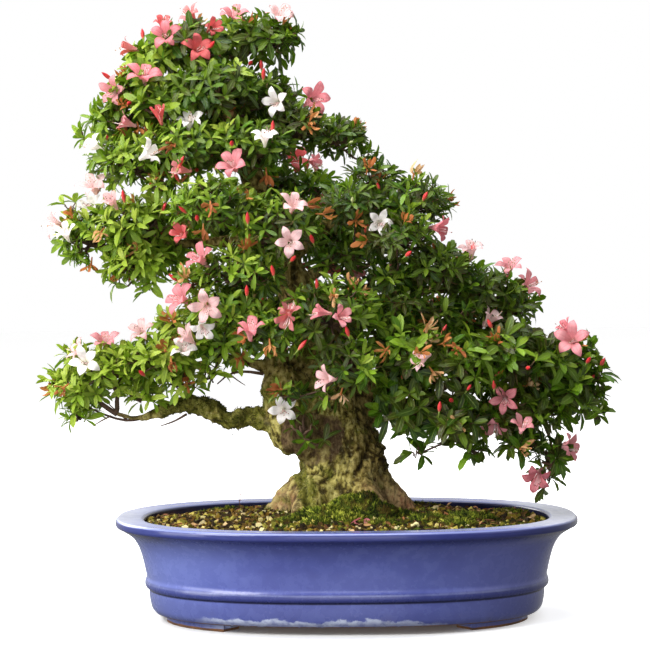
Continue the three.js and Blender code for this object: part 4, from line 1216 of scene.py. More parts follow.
def barkPaint():
    paint = Paint("azalea bark")
    x, _, z = paint.parts(paint.place(1000, 1000, 1000))
    groove, moss, young = (paint.mark(name) for name in ("groove", "moss", "young"))
    broad = paint.clouds(26, 4, 0.6)
    blotch = paint.clouds(75, 5, 0.65, warp=0.6)
    fine = paint.clouds(1, 4, 0.65, at=paint.place(420, 420, 150))
    scales = paint.clouds(230, 4, 0.7)
    # the ramps are darker where the mark paints shade into the hollows, the cleft and the pits
    old = paint.ramp(groove * 0.45 + blotch * 0.28 + fine * 0.27, [
        (0.2, 26, 20, 6), (0.4, 76, 65, 27), (0.56, 134, 123, 58), (0.75, 184, 174, 104),
    ])
    brown = paint.ramp(groove * 0.5 + blotch * 0.3 + fine * 0.2, [
        (0.22, 28, 18, 7), (0.5, 80, 60, 29), (0.72, 126, 100, 58),
    ])
    # the trunk's right side is darker and browner, and so is the upper wood
    shaded = paint.rise(x + broad * 60, 34, 84) * 0.6 + paint.rise(z + broad * 60, 250, 330) * 0.5
    flare = paint.rise(z, 178, 140) * paint.rise(paint.size(x - 4), 20, 60)
    rust = paint.rise(paint.clouds(40, 5, 0.65), 0.46, 0.62) * flare
    pale = paint.rise(paint.clouds(48, 5, 0.6), 0.54, 0.68) * paint.rise(z, 300, 150)
    green = paint.ramp(fine * 0.5 + blotch * 0.5, [(0.3, 42, 48, 8), (0.7, 134, 134, 48)])
    cracks = paint.rise(paint.clouds(110, 4, 0.6, at=paint.place(1, 1, 0.4), warp=1.2), 0.42, 0.34)
    twig = paint.ramp(fine, [(0.35, 62, 44, 32), (0.7, 116, 92, 68)])
    colour = paint.coats(
        old,
        (brown, paint.least(shaded, 0.85)),
        # rusty algae on the root flare
        ((172, 142, 106), flare * 0.6),
        ((138, 84, 62), rust * 0.6),
        ((184, 175, 122), pale * 0.38),
        (green, paint.rise(moss + blotch * 0.5, 0.5, 1.0) * 0.75),
        ((40, 30, 16), cracks * 0.6),
        # black pits and pale scales
        ((26, 22, 10), paint.rise(scales, 0.46, 0.36) * 0.65),
        ((176, 168, 116), paint.rise(scales, 0.56, 0.68) * 0.4),
        (twig, paint.rise(young, 0.3, 0.8)),
    )
    grit = paint.clouds(700, 3, 0.6)
    height = groove * 0.4 + fine * 0.5 + grit * 0.25 + scales * 0.5 - cracks * 0.6
    return paint.finish(
        Base_Color=colour, Roughness=0.82, Normal=paint.bump(height, 0.0026, 0.9),
        Specular_IOR_Level=0.12,
    )


woodSpots, woodNormals, woodMoss = makeWood()
print("wood is grown")


def finishMoss(draw):
    # tufts on the soil, on its cushions and on the mossy wood
    pile = makeMoss(draw)
    chance = np.clip(woodMoss - 0.45, 0, 1) ** 1.3 * (woodSpots[:, 2] < 330)
    picked = draw.choice(len(woodSpots), bark["mossTufts"], replace=False, p=chance / chance.sum())
    lean = unit(woodNormals[picked] + draw.normal(size=(len(picked), 3)) * 0.4)
    size = draw.uniform(1.0, 2.4, len(picked)) * mm
    tone = np.clip(0.2 + draw.uniform(-0.1, 0.4, len(picked)), 0, 1)
    tufts(pile, toFrame(woodSpots[picked]), lean, size, size * 0.36, tone)
    piece = pile.make("moss_tufts", mossPaint())


finishMoss(soilDraw)
print("moss is laid")

# boughs

# Every leafy bough is a few rounded lumps [x, y, z, half length, half depth, half height], measured
# out to its leaf tips.
boughs = {
    "apex": [(-180, -5, 688, 54, 52, 32), (-102, 0, 690, 60, 52, 36), (-218, -8, 668, 42, 42, 32)],
    "upper_left": [
        (-232, -18, 636, 48, 54, 36), (-262, -4, 598, 50, 48, 38), (-212, -48, 606, 48, 42, 36),
    ],
    "upper_middle": [(-150, -46, 628, 60, 50, 40), (-95, -10, 622, 48, 55, 36)],
    "upper_right": [(-58, -22, 586, 48, 52, 38), (-10, -12, 574, 44, 46, 30)],
    "middle_left": [
        (-252, -28, 546, 58, 60, 40), (-182, -66, 556, 62, 52, 42), (-110, -66, 556, 56, 50, 38),
    ],
    "left_wing": [
        (-302, -8, 456, 50, 54, 40), (-246, -36, 470, 58, 56, 40), (-240, -14, 426, 58, 64, 34),
        (-232, 36, 450, 54, 50, 38),
    ],
    "centre": [
        (-150, -110, 486, 58, 48, 44), (-75, -105, 462, 60, 48, 50), (-120, -120, 414, 56, 44, 40),
    ],
    "right_shoulder": [
        (12, -66, 488, 50, 60, 40), (74, -46, 494, 60, 56, 38), (60, -90, 452, 52, 50, 38),
    ],
    "right_middle": [
        (110, -60, 412, 52, 56, 38), (162, -30, 390, 50, 56, 38), (200, -8, 370, 38, 46, 32),
    ],
    "low_centre": [
        (-145, -110, 368, 52, 48, 38), (-85, -120, 344, 52, 46, 38), (-18, -112, 362, 62, 50, 48),
        (6, -112, 308, 50, 46, 42),
    ],
    "low_right": [
        (75, -90, 318, 54, 56, 40), (70, -80, 260, 48, 50, 42), (135, -90, 298, 54, 56, 48),
        (128, -80, 236, 48, 52, 34),
    ],
    "low_right_end": [
        (198, -60, 312, 50, 56, 50), (204, -54, 246, 56, 52, 44), (256, -30, 308, 52, 54, 36),
        (264, -26, 264, 54, 52, 38),
    ],
    "hanging_spray": [(243, -52, 190, 26, 26, 32)],
    "trunk_spray": [(-52, -68, 230, 27, 24, 32)],
    "low_left": [
        (-318, -10, 276, 44, 44, 34), (-280, -28, 298, 50, 50, 36), (-220, -38, 312, 56, 54, 36),
        (-240, 20, 296, 48, 44, 32), (-150, -44, 332, 58, 50, 38),
    ],
    "back_upper": [
        (-165, 66, 640, 58, 50, 44), (-112, 74, 598, 64, 54, 48), (-186, 64, 576, 64, 54, 46),
    ],
    "back_middle": [
        (-60, 114, 510, 62, 56, 46), (-156, 112, 482, 70, 60, 48), (-88, 136, 456, 72, 60, 54),
        (10, 110, 458, 66, 58, 46),
    ],
    "back_low": [
        (-120, 140, 366, 62, 56, 44), (-36, 154, 356, 70, 58, 48), (40, 128, 378, 64, 60, 44),
    ],
    "back_right": [
        (104, 84, 326, 58, 58, 46), (176, 52, 304, 56, 54, 42), (238, 42, 292, 44, 44, 34),
    ],
}
lumpBough = [bough for bough, rows in boughs.items() for _ in rows]
lumpTable = np.array([row for rows in boughs.values() for row in rows], float)
lumpCentre, lumpFull = lumpTable[:, :3], lumpTable[:, 3:]
lumpCore = lumpFull - 10


def depthIn(points, lump, sizes):
    # how far points lie out from a lump's middle: 1 is on the skin of that size
    return np.linalg.norm((points - lumpCentre[lump]) / sizes[lump], axis=-1)


def skinNormal(lump, point):
    return unit((point - lumpCentre[lump]) / lumpCore[lump] ** 2)


def crownHit(start, towards):
    # where the line from a point first meets the crown: lump, distance and point, or None
    best = None
    for lump in range(len(lumpCentre)):
        near = (start - lumpCentre[lump]) / lumpCore[lump]
        step = towards / lumpCore[lump]
        a, b, c = step.dot(step), near.dot(step), near.dot(near) - 1
        if b * b - a * c > 0:
            distance = (-b - math.sqrt(b * b - a * c)) / a
            if best is None or distance < best[1]:
                best = (lump, distance, start + towards * distance)
    return best


def crownEdge(start, towards):
    # the point of the crown's skin that lies nearest to a line that passes the crown by
    best = None
    for lump in range(len(lumpCentre)):
        passing = start + towards * (lumpCentre[lump] - start).dot(towards)
        out = depthIn(passing, lump, lumpCore)
        if best is None or out < best[1]:
            best = (lump, out, lumpCentre[lump] + (passing - lumpCentre[lump]) / out)
    return best


def onCrown(x, z):
    # the crown's skin as the front shows it at x, z of the plane through the pot's middle
    eye = np.array(view["shownTo"], float)
    towards = unit(np.array([x, 0.0, z]) - eye)
    seen = crownHit(eye, towards)
    if seen is None or seen[2][1] >= 30:
        seen = crownEdge(eye, towards)
    return seen[0], seen[2], towards


# blooms

bloom = {
    "petalLength": 18.5,
    "standOff": 13,
    "turnToFront": 0.55,
    "turnUp": 0.1,
    "petals": 5,
    "stamens": 5,
}
# x, z, colour and whether it has a solid of its own, as the front shows them; then degrees turned
# to the right and up, size, and how far it is closed
frontBlooms = [
    (-186, 721, "coral", True, -50, 45, 1.05, 0.2), (-143, 726, "pink", True, 10, 55, 1.1, 0),
    (-77, 715, "pale", True, 25, 45, 1.05, 0), (-208, 696, "pink", True, -10, 15, 1.12, 0),
    (-174, 687, "coral", False, 20, 20, 1.05, 0), (-253, 678, "coral", True, -75, 10, 0.95, 0.5),
    (-238, 649, "pink", True, 0, 48, 1.25, 0), (-275, 622, "pink", True, -35, 0, 1.12, 0),
    (-190, 601, "white", True, 0, 55, 1.0, 0), (-85, 620, "white", True, -20, 0, 1.0, 0),
    (-32, 618, "pink", True, 30, 10, 1.12, 0), (-220, 606, "coral", False, -20, 60, 0.9, 0.8),
    (-294, 530, "pale", True, -15, 45, 1.2, 0), (-226, 559, "white", False, 65, 30, 1.05, 0.15),
    (-132, 550, "pink", True, -20, 30, 1.2, 0), (-58, 545, "coral", True, 40, 20, 1.2, 0),
    (-97, 573, "white", False, 0, 60, 0.9, 0), (-342, 468, "pale", True, -60, 10, 1.0, 0),
    (-167, 428, "pink", True, -40, 40, 1.15, 0.2), (-67, 453, "pale", True, 0, 0, 1.0, 0),
    (37, 478, "white", True, 10, 0, 0.95, 0), (12, 420, "pink", False, 25, -15, 0.95, 0.2),
    (110, 462, "pink", False, 60, 0, 1.0, 0.2), (148, 434, "pale", True, -10, 60, 1.0, 0),
    (194, 412, "pink", True, 0, 50, 0.95, 0), (223, 394, "pink", False, 60, 30, 1.05, 0),
    (-203, 382, "pink", True, -50, 25, 1.25, 0.1), (-164, 371, "pale", True, 0, -10, 1.15, 0.1),
    (-110, 346, "pink", True, 0, 62, 1.1, 0.2), (-73, 353, "coral", False, -20, -30, 1.0, 0.35),
    (-66, 241, "white", True, 0, 0, 1.05, 0), (-19, 290, "pale", True, -50, 5, 1.05, 0.1),
    (270, 323, "pink", True, -15, 15, 1.25, 0), (193, 255, "pink", True, -10, -10, 1.0, 0),
    (262, 197, "pink", True, 60, 0, 1.12, 0), (-290, 335, "pink", True, 0, 50, 1.0, 0),
    (-323, 316, "pale", False, -60, 30, 0.9, 0), (-188, 326, "white", True, 10, 40, 0.95, 0.1),
    (-5, 361, "pink", False, 25, 10, 0.95, 0.4), (174, 367, "pale", False, 60, 50, 1.0, 0.5),
    (72, 365, "pink", False, -10, 0, 1.0, 0.3), (-295, 561, "white", False, -60, 20, 0.9, 0),
    (-245, 337, "pale", False, -30, 40, 1.0, 0), (212, 232, "pink", False, 10, 50, 0.95, 0.2),
    (-308, 304, "white", False, 0, 15, 1.05, 0), (-275, 492, "pale", False, -30, 40, 0.9, 0.5),
    (-65, 598, "coral", False, -10, -10, 1.0, 0), (-62, 491, "pale", False, 20, 40, 1.0, 0),
    (-191, 469, "coral", False, -20, 10, 0.9, 0.4), (5, 458, "pink", False, 30, 20, 0.9, 0.6),
    (88, 310, "pale", False, -60, -20, 0.95, 0.5), (160, 258, "pale", False, 0, 30, 0.85, 0.4),
    (229, 154, "pink", False, -20, -35, 1.1, 0), (266, 355, "pink", False, -60, 40, 0.85, 0.4),
]
# rows of them behind: height, x of the row's middle, and how many
backRows = [
    (670, -150, 2), (610, -150, 2), (545, -150, 3), (475, -130, 3), (410, -40, 3), (340, 0, 3),
    (285, 60, 2),
]
bloomColours = ("pink", "coral", "pale", "white")
# more of them that only dress the boughs: x, z, colour, turn, tilt, size, closing
moreBlooms = [
    (182, 229, "pink", -20, -50, 1.0, 0.2), (-196, 543, "coral", -60, 10, 0.95, 0.6),
    (-62, 368, "coral", 20, 65, 0.9, 0.3), (-34, 541, "pink", 50, -10, 0.9, 0.3),
    (-306, 494, "white", -30, 30, 1.1, 0.1), (-330, 462, "white", -20, 50, 0.9, 0.3),
    (6, 450, "coral", -70, 10, 0.85, 0.7), (56, 414, "pink", -30, -40, 0.8, 0.5),
    (-29, 366, "pink", -70, 10, 0.85, 0.6), (-168, 352, "white", 20, -30, 0.95, 0.1),
    (-186, 336, "pale", -50, 40, 0.95, 0.3), (-214, 706, "coral", 10, 50, 0.9, 0.4),
    (-158, 702, "coral", 30, 10, 0.85, 0.4), (-262, 596, "pink", -70, 20, 0.9, 0.4),
]


def gazeAt(turn, tilt):
    # the direction of a face that is turned so many degrees from the front to the right, and up
    turn, tilt = math.radians(turn), math.radians(tilt)
    level = math.cos(tilt)
    return np.array([math.sin(turn) * level, -math.cos(turn) * level, math.sin(tilt)])


def placeBlooms():
    # the face of a bloom is the middle of its petals, and its axis points the way that they open
    found = []
    for x, z, colour, own, turn, tilt, size, closing in frontBlooms:
        lump, point, towards = onCrown(x, z)
        stem = skinNormal(lump, point) - towards * bloom["turnToFront"]
        stem[2] += bloom["turnUp"]
        found.append((lump, point, unit(stem), colour, own, gazeAt(turn, tilt), size, closing))
    draw = randomFrom(41)
    angle = 0
    for z, middle, count in backRows:
        for number in range(count):
            angle += goldenAngle
            facing = math.pi * (0.08 + 0.84 * ((angle / math.pi) % 1))
            outward = np.array([math.cos(facing), math.sin(facing), 0.0])
            height = z + (draw() - 0.5) * 50
            hit = crownHit(np.array([middle, 30.0, height]) + outward * 600, -outward)
            colour = bloomColours[int(draw() * 4)]
            if hit and hit[1] < 590:
                lump, _, point = hit
                stem = unit(skinNormal(lump, point) + outward * 0.4)
                sway = np.array([0.5 * math.sin(angle * 3), 0, 0.3 * math.cos(angle * 5)])
                found.append((lump, point, stem, colour, number == 0, unit(stem + sway), 1.05, 0))
    draw = randomFrom(7)
    blooms, counts = [], {}

    def grow(face, stem, axis, colour, size, closing, lump, node=None):
        blooms.append({
            "face": face, "stem": stem, "axis": axis, "spin": draw() * 2 * math.pi, "size": size,
            "closing": closing, "colour": colour, "bough": lumpBough[lump], "node": node,
        })

    for lump, point, stem, colour, own, gaze, size, closing in found:
        face = point + stem * bloom["standOff"]
        room = bloom["petalLength"] * (2.02 if own else 1.7)
        if all(np.linalg.norm(other["face"] - face) > room for other in blooms):
            node = None
            if own:
                counts[colour] = counts.get(colour, 0) + 1
                node = f"bloom_{colour}_{counts[colour]:02d}"
            grow(face, stem, gaze, colour, size, closing, lump, node)
    for x, z, colour, turn, tilt, size, closing in moreBlooms:
        lump, point, towards = onCrown(x, z)
        stem = unit(skinNormal(lump, point) - towards * bloom["turnToFront"])
        face = point + stem * bloom["standOff"] * 0.8
        grow(face, stem, gazeAt(turn, tilt), colour, size, closing, lump)
    return blooms


leaning = np.array([0.31, 0.27, 0.91])  # along no stalk, so that a side can be taken from it


def starFrame(axis):
    side = unit(np.cross(leaning, axis))
    return side, np.cross(axis, side)


petalShape = {
    "rows": 12,
    "columns": 5,
    # share along the petal: radius, height and half width
    "along": [0, 0.14, 0.3, 0.46, 0.6, 0.74, 0.86, 0.94, 1.0],
    "radius": [1.8, 2.7, 4.2, 6.6, 9.2, 12.2, 15.0, 17.0, 18.5],
    "height": [-15, -10.0, -5.4, -1.4, 1.0, 2.2, 2.0, 1.0, -0.4],
    "halfWidth": [1.2, 2.0, 3.4, 4.8, 5.4, 4.9, 3.5, 2.0, 0.2],
}


def petals(flower, draw):
    # curved petals, as points, quads and share along and across
    rows, columns, count = petalShape["rows"], petalShape["columns"], bloom["petals"]
    t, s = np.linspace(0, 1, rows)[:, None], np.linspace(-1, 1, columns)[None]
    radius, height, half = (
        np.interp(t[:, 0], petalShape["along"], petalShape[name])[:, None]
        for name in ("radius", "height", "halfWidth")
    )
    closing, size = flower["closing"], flower["size"]  # closing is 0 for wide open
    side, across = starFrame(flower["axis"])
    points, faces = [], []
    first = (np.arange(rows - 1)[:, None] * columns + np.arange(columns - 1)).reshape(-1, 1)
    quads = first + [0, 1, columns + 1, columns]
    for petal in range(count):
        turn = flower["spin"] + petal * 2 * math.pi / count + draw.uniform(-0.09, 0.09)
        long, wide = draw.uniform(0.9, 1.08), draw.uniform(0.85, 1.1)
        lift = draw.uniform(-3.0, 5.0) + closing * 12
        curl = draw.uniform(-0.4, 1.8)
        twist = draw.uniform(-0.15, 0.4)
        outward = side * math.cos(turn) + across * math.sin(turn)
        sideways = -side * math.sin(turn) + across * math.cos(turn)
        r = radius * long * (1 - closing * 0.55 * t)
        h = height + lift * t ** 2 - curl * np.clip(t - 0.7, 0, 1) ** 2 * 22
        w = half * wide * s * (1 - 0.3 * closing)
        cup = (0.42 - 0.75 * t) * s ** 2 * half * 0.7
        crease = -0.55 * (1 - np.abs(s)) * np.sin(t * math.pi)
        ruffle = 0.45 * np.sin(t * 15 + petal * 2 + s * 2) * np.abs(s) * t
        lifted = h + cup + crease + ruffle + w * twist * t
        grid = flower["face"] + size * (
            r[..., None] * outward + w[..., None] * sideways + lifted[..., None] * flower["axis"]
        )
        faces.append(quads + petal * rows * columns)
        points.append(grid.reshape(-1, 3))
    along, over = np.tile(np.repeat(t, columns), count), np.tile(s.ravel(), rows * count)
    return np.concatenate(points), np.concatenate(faces), along, over


def addBloom(pile, flower, draw, slot, thread):
    # One open flower with its tube, its calyx, its stamens and its style. slot is that of the
    # petals. The slot of the thread is followed by those of the anthers and of what is green.
    anther, green = thread + 1, thread + 2
    points, faces, along, over = petals(flower, draw)
    tone = draw.uniform(0, 1)
    pile.add(toFrame(points), faces, slot, along=along, across=over, tone=tone)
    axis, face, size = flower["axis"], flower["face"], flower["size"]
    side, across = starFrame(axis)
    # the tube bends from the face back to the stalk's root in the bough
    neck, root = face - axis * 13.5 * size, face - flower["stem"] * 32 - axis * 4
    course = curve(neck, neck - axis * 6, root, np.linspace(0, 1, 7)[:, None])
    pile.addTubes(course[None, :4], [[2.3 * size, 1.9, 1.6, 1.3]], 8, slot, tone=tone)
    pile.addTubes(course[None, 3:], [[1.6, 0.9, 0.8, 0.8]], 5, green, tone=0.5)
    out = around(side, across, turns(5) + flower["spin"])
    sepals = unit(out * 0.45 + unit(course[2] - course[3]))
    pile.addBlades(course[3] + out * 0.8, sepals, out, 4.5, 1.0, 0.2, 0.1, slot=green, tone=0.6)
    # stamens lean to the lower side, with the style longer than they are
    down = np.array([0.25, 0, -1.0])
    lower = unit(down - axis * down.dot(axis))
    count = bloom["stamens"] + 1
    fan = np.linspace(-0.75, 0.75, count)[:, None]
    sideways = np.cross(axis, lower)
    start = np.tile(face - axis * 12 * size, (count, 1))
    end = face + axis * draw.uniform(4, 9, (count, 1)) + lower * draw.uniform(2, 6, (count, 1))
    end += sideways * fan * 7
    end[0] = face + axis * 13 + lower * 6
    paths = bent(start, end, unit(axis * 0.8 + lower * 0.1 + sideways * fan * 0.3), 5)
    pile.addTubes(paths, 0.32, 3, thread, tone=tone)
    tips = np.stack([end - axis * 0.8, end + axis * 0.1, end + axis * 0.9], 1)
    pile.addTubes(tips, [[0.25, 0.72, 0.3]] * count, 4, anther, tone=tone)


def petalPaint(name, body, rim, throat, vein, speck):
    paint = Paint(f"{name} petal")
    along, across, tone = paint.mark("along"), paint.mark("across"), paint.mark("tone")
    out = paint.size(across)
    cloud = paint.clouds(160, 4, 0.6)
    lines = paint.wave(across * 17 + paint.wave(along * 9) * 0.7) * 0.5 + 0.5
    dots = paint.rise(paint.cells(620), 0.26, 0.12)
    dots = dots * paint.rise(paint.size(along - 0.42), 0.22, 0.08) * paint.rise(out, 0.8, 0.4)
    shade = paint.coats(
        body,
        (rim, paint.rise(out * 0.6 + along * 0.5 + cloud * 0.5, 0.75, 1.25) * 0.8),
        (throat, paint.rise(along + cloud * 0.15, 0.5, 0.1) * 0.75),
        (vein, lines * paint.rise(cloud, 0.35, 0.65) * 0.42),
        (vein, paint.rise(out, 0.14, 0.02) * 0.4),
        (speck, dots * 0.7),
        ((1.0, 0.94, 0.93, 1), tone * 0.22),
    )
    relief = paint.bump(lines + cloud * 0.6, 0.0005, 0.5)
    paint.finish(Base_Color=shade, Roughness=0.52, Normal=relief, Specular_IOR_Level=0.3)
    between = tuple(0.5 * v + 0.5 * w for v, w in zip(linear(*body), linear(*rim)))
    return paint.letThrough(0.3, between)


# the body of a petal, its rim, its throat, its veins and its specks
petalColours = {
    "coral": ((220, 96, 94), (206, 58, 62), (232, 150, 130), (180, 38, 50), (140, 18, 36)),
    "pink": ((232, 142, 148), (216, 92, 108), (242, 200, 190), (200, 66, 90), (160, 34, 62)),
    "pale": ((248, 212, 210), (240, 172, 176), (246, 224, 200), (226, 130, 140), (190, 70, 96)),
    "white": ((252, 250, 246), (252, 240, 240), (236, 238, 204), (236, 226, 222), (220, 190, 180)),
}
petalPaints = {colour: petalPaint(colour, *shades) for colour, shades in petalColours.items()}


def plainPaint(name, stops, rough, through=None, scale=300, depth=0.0003):
    # a finish whose colour runs over its stops by the piece's own tone and a fine cloud
    paint = Paint(name)
    cloud = paint.clouds(scale, 4, 0.6)
    paint.finish(
        Base_Color=paint.ramp(paint.mark("tone") * 0.65 + cloud * 0.35, stops), Roughness=rough,
        Normal=paint.bump(cloud, depth, 0.6),
    )
    return paint.letThrough(*through) if through else paint.material


threadPaint = plainPaint("stamen thread", [(0.2, 248, 206, 206), (0.8, 244, 226, 222)], 0.5)
antherPaint = plainPaint("anther", [(0.2, 130, 80, 66), (0.8, 186, 150, 110)], 0.7)
greenPaint = plainPaint("calyx green", [(0.1, 96, 124, 40), (0.9, 168, 178, 84)], 0.5)

blooms = placeBlooms()


def makeFlowers(name, flowers, colours, draw):
    pile = Pile("along", "across", "tone")
    for flower in flowers:
        addBloom(pile, flower, draw, colours.index(flower["colour"]), len(colours))
    paints = [petalPaints[colour] for colour in colours]
    piece = pile.make(name, *paints, threadPaint, antherPaint, greenPaint)
    return piece


def makeBlooms(draw):
    for flower in blooms:
        if flower["node"]:
            name = flower["node"].replace("bloom_", "flower_")
            piece = makeFlowers(name, [flower], [flower["colour"]], draw)
            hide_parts(flower["node"])
    for bough in boughs:
        inBough = [flower for flower in blooms if flower["bough"] == bough and not flower["node"]]
        if inBough:
            makeFlowers(f"flowers_{bough}", inBough, bloomColours, draw)


makeBlooms(np.random.default_rng(33))
print("blooms are open:", len(blooms))

# leaves and twigs

leafing = {
    # layers: (depth under the lump's skin, spacing, leaves to a whorl)
    "layers": [(13, 20, 6), (30, 22, 5)],
    "deepest": 0.72,  # a whorl deeper than this inside another lump is left out
    "thin": {"trunk_spray": 0.4},  # share of whorls kept in a bough
    # how large a bough's leaves are
    "scale": {
        "low_right": 1.14, "low_right_end": 1.14, "hanging_spray": 1.14, "apex": 1.08,
        "upper_left": 1.08, "centre": 0.86, "low_centre": 0.86, "right_shoulder": 0.88,
        "upper_right": 0.88, "middle_left": 0.94, "right_middle": 0.94,
    },
    "length": (15, 26),
    "slimness": 0.158,
    # how much lighter a bough's leaves are
    "bright": {
        "low_left": 0.42, "centre": 0.1, "low_centre": 0.12, "left_wing": 0.08, "apex": -0.1,
        "upper_middle": -0.14, "upper_right": -0.12, "right_shoulder": -0.08,
    },
    # leaves at the top of the twig that stand up, and those that sit lower on it than the whorl
    "upright": 2,
    "lower": 4,
    "airy": 0.72,  # share of leaves kept in a loose spray
    "underside": 0.4,  # share of whorls kept where a lump looks down
    "cleft": -0.62,  # whorls are left out where slow noise is below this
}
# loose sprays of leaves that stand out of the boughs' lumps, in the lumps' own terms
sprays = {
    "low_left": [
        (-195, -30, 284, 34, 34, 24), (-240, -24, 266, 30, 26, 16), (-318, -10, 242, 24, 24, 16),
        (-160, -40, 292, 18, 24, 22), (-205, -40, 352, 30, 30, 20), (-350, -8, 284, 12, 16, 14),
        (-322, -10, 312, 24, 22, 16),
    ],
    "low_right": [(84, -84, 206, 16, 18, 24), (150, -70, 202, 20, 20, 12)],
    "low_right_end": [
        (208, -60, 206, 30, 32, 22), (298, -28, 240, 16, 18, 16), (300, -28, 286, 14, 22, 22),
    ],
    "right_middle": [
        (128, -60, 364, 52, 40, 18), (70, -76, 376, 34, 28, 22), (160, -20, 350, 50, 40, 24),
    ],
    "right_shoulder": [
        (34, -50, 526, 36, 34, 20), (4, -44, 424, 52, 40, 30), (60, -60, 408, 40, 36, 24),
    ],
    "left_wing": [
        (-326, -10, 492, 18, 20, 16), (-270, -12, 400, 12, 14, 14), (-236, -16, 396, 16, 16, 14),
    ],
    "middle_left": [(-306, -24, 574, 18, 22, 18), (-214, -50, 514, 26, 30, 18)],
    "upper_right": [(26, -12, 548, 18, 20, 14)],
    "centre": [(-178, -100, 404, 26, 30, 24)],
    "low_centre": [
        (-66, -84, 268, 26, 22, 16), (-20, -96, 268, 22, 20, 14), (48, -60, 352, 44, 36, 34),
        (-110, -80, 402, 44, 36, 22),
    ],
    "trunk_spray": [(-30, -64, 212, 14, 12, 12)],
    "hanging_spray": [(238, -44, 172, 16, 14, 24)],
}
# the lumps come first, and the loose sprays after them
growth = [(bough, row) for bough, rows in boughs.items() for row in rows]
growth += [(bough, row) for bough, rows in sprays.items() for row in rows]
growthBough = [bough for bough, _ in growth]
growthTable = np.array([row for _, row in growth], float)
growthCentre, growthFull = growthTable[:, :3], growthTable[:, 3:]


def spiral(count, turn):
    # even directions all round
    number = np.arange(count)
    z = 1 - (2 * number + 1) / count
    ring = np.sqrt(1 - z * z)
    angle = number * goldenAngle + turn
    return np.column_stack([np.cos(angle) * ring, np.sin(angle) * ring, z])


def skinSpots(lump, inset, spacing, draw):
    size = growthFull[lump] - min(inset, 0.5 * growthFull[lump].min())
    # about how large the skin of a lump of three half sizes is
    power = 1.6
    sections = size[0] * size[1], size[0] * size[2], size[1] * size[2]
    area = 4 * math.pi * (sum(section ** power for section in sections) / 3) ** (1 / power)
    count = int(area / spacing ** 2 * 1.15)
    direction = unit(spiral(count, lump) + draw.normal(size=(count, 3)) * 0.07)
    reach = draw.uniform(0.82, 1.07, count) + (draw.uniform(size=count) < 0.08) * 0.14
    return growthCentre[lump] + direction * size * reach[:, None]


def crownMiddle(z):
    return np.column_stack([fade(z, 290, 670) * -150, np.full(len(z), 5.0), z])


def findWhorls(bough, draw):
    # places and directions of a bough's whorls, with the lump that each belongs to and its layer
    found = []
    for lump in [n for n, name in enumerate(growthBough) if name == bough]:
        loose = lump >= len(lumpCentre)
        closer = leafing["scale"].get(bough, 1) ** 0.6 * (0.78 if loose else 1)
        for layer, (inset, spacing, _) in enumerate(leafing["layers"]):
            if layer and loose:
                continue
            spots = skinSpots(lump, inset, spacing * closer, draw)
            normal = unit((spots - growthCentre[lump]) / growthFull[lump] ** 2)
            keep = roughness(spots, 24, 17, 2) > leafing["cleft"]
            for other in range(len(lumpCentre)):
                if other != lump:
                    keep &= depthIn(spots, other, lumpFull) > leafing["deepest"]
            keep &= (normal[:, 2] > -0.35) | (draw.uniform(size=len(spots)) < leafing["underside"])
            keep &= draw.uniform(size=len(spots)) < leafing["thin"].get(bough, 1)
            # none stand in front of a flower
            for flower in blooms:
                away = spots - flower["face"]
                ahead = away @ flower["axis"]
                aside = np.linalg.norm(away - ahead[:, None] * flower["axis"], axis=1)
                keep &= ~((ahead > -13) & (ahead < 42) & (aside < 17))
            outward = unit(spots - crownMiddle(spots[:, 2]))
            axis = normal * 0.8 + outward * 0.35 + upward * 0.5
            axis = unit(axis + draw.normal(size=spots.shape) * 0.22)
            rows = np.column_stack([spots, axis, np.full((len(spots), 2), (lump, layer))])
            found.append(rows[keep])
    return np.concatenate(found)


def leafPaint():
    paint = Paint("azalea leaf")
    along, across, tone, young = (paint.mark(name) for name in ("along", "across", "tone", "young"))
    cloud = paint.clouds(130, 4, 0.6)
    # its darkest tones, which the inner leaves get as painted shade, run to brown
    old = paint.ramp(tone * 0.8 + cloud * 0.3, [
        (0.08, 56, 42, 16), (0.24, 32, 31, 7), (0.36, 14, 32, 3), (0.57, 34, 68, 5),
        (0.74, 76, 118, 14), (1.0, 136, 168, 40),
    ])
    fresh = paint.ramp(tone * 0.7 + cloud * 0.3, [
        (0.15, 92, 122, 20), (0.6, 142, 166, 44), (1.0, 182, 194, 78),
    ])
    rib = paint.rise(paint.size(across), 0.16, 0.03) * paint.rise(along, 1.05, 0.6)
    veins = paint.wave(along * 34 - paint.size(across) * 9) * 0.5 + 0.5
    edge = paint.rise(paint.size(across) + along * 0.2, 0.9, 1.15)
    colour = paint.coats(
        old,
        (fresh, young),
        ((150, 176, 84), rib * 0.5),
        ((120, 156, 60), veins * 0.12),
        ((120, 104, 48), edge * paint.rise(tone, 0.5, 0.1) * 0.5),
    )
    relief = paint.bump(veins * 0.5 - rib, 0.0006, 0.6)
    sheen = 0.3 + cloud * 0.16
    paint.finish(Base_Color=colour, Roughness=sheen, Normal=relief, Specular_IOR_Level=0.3)
    return paint.letThrough(0.22, (112, 156, 22))


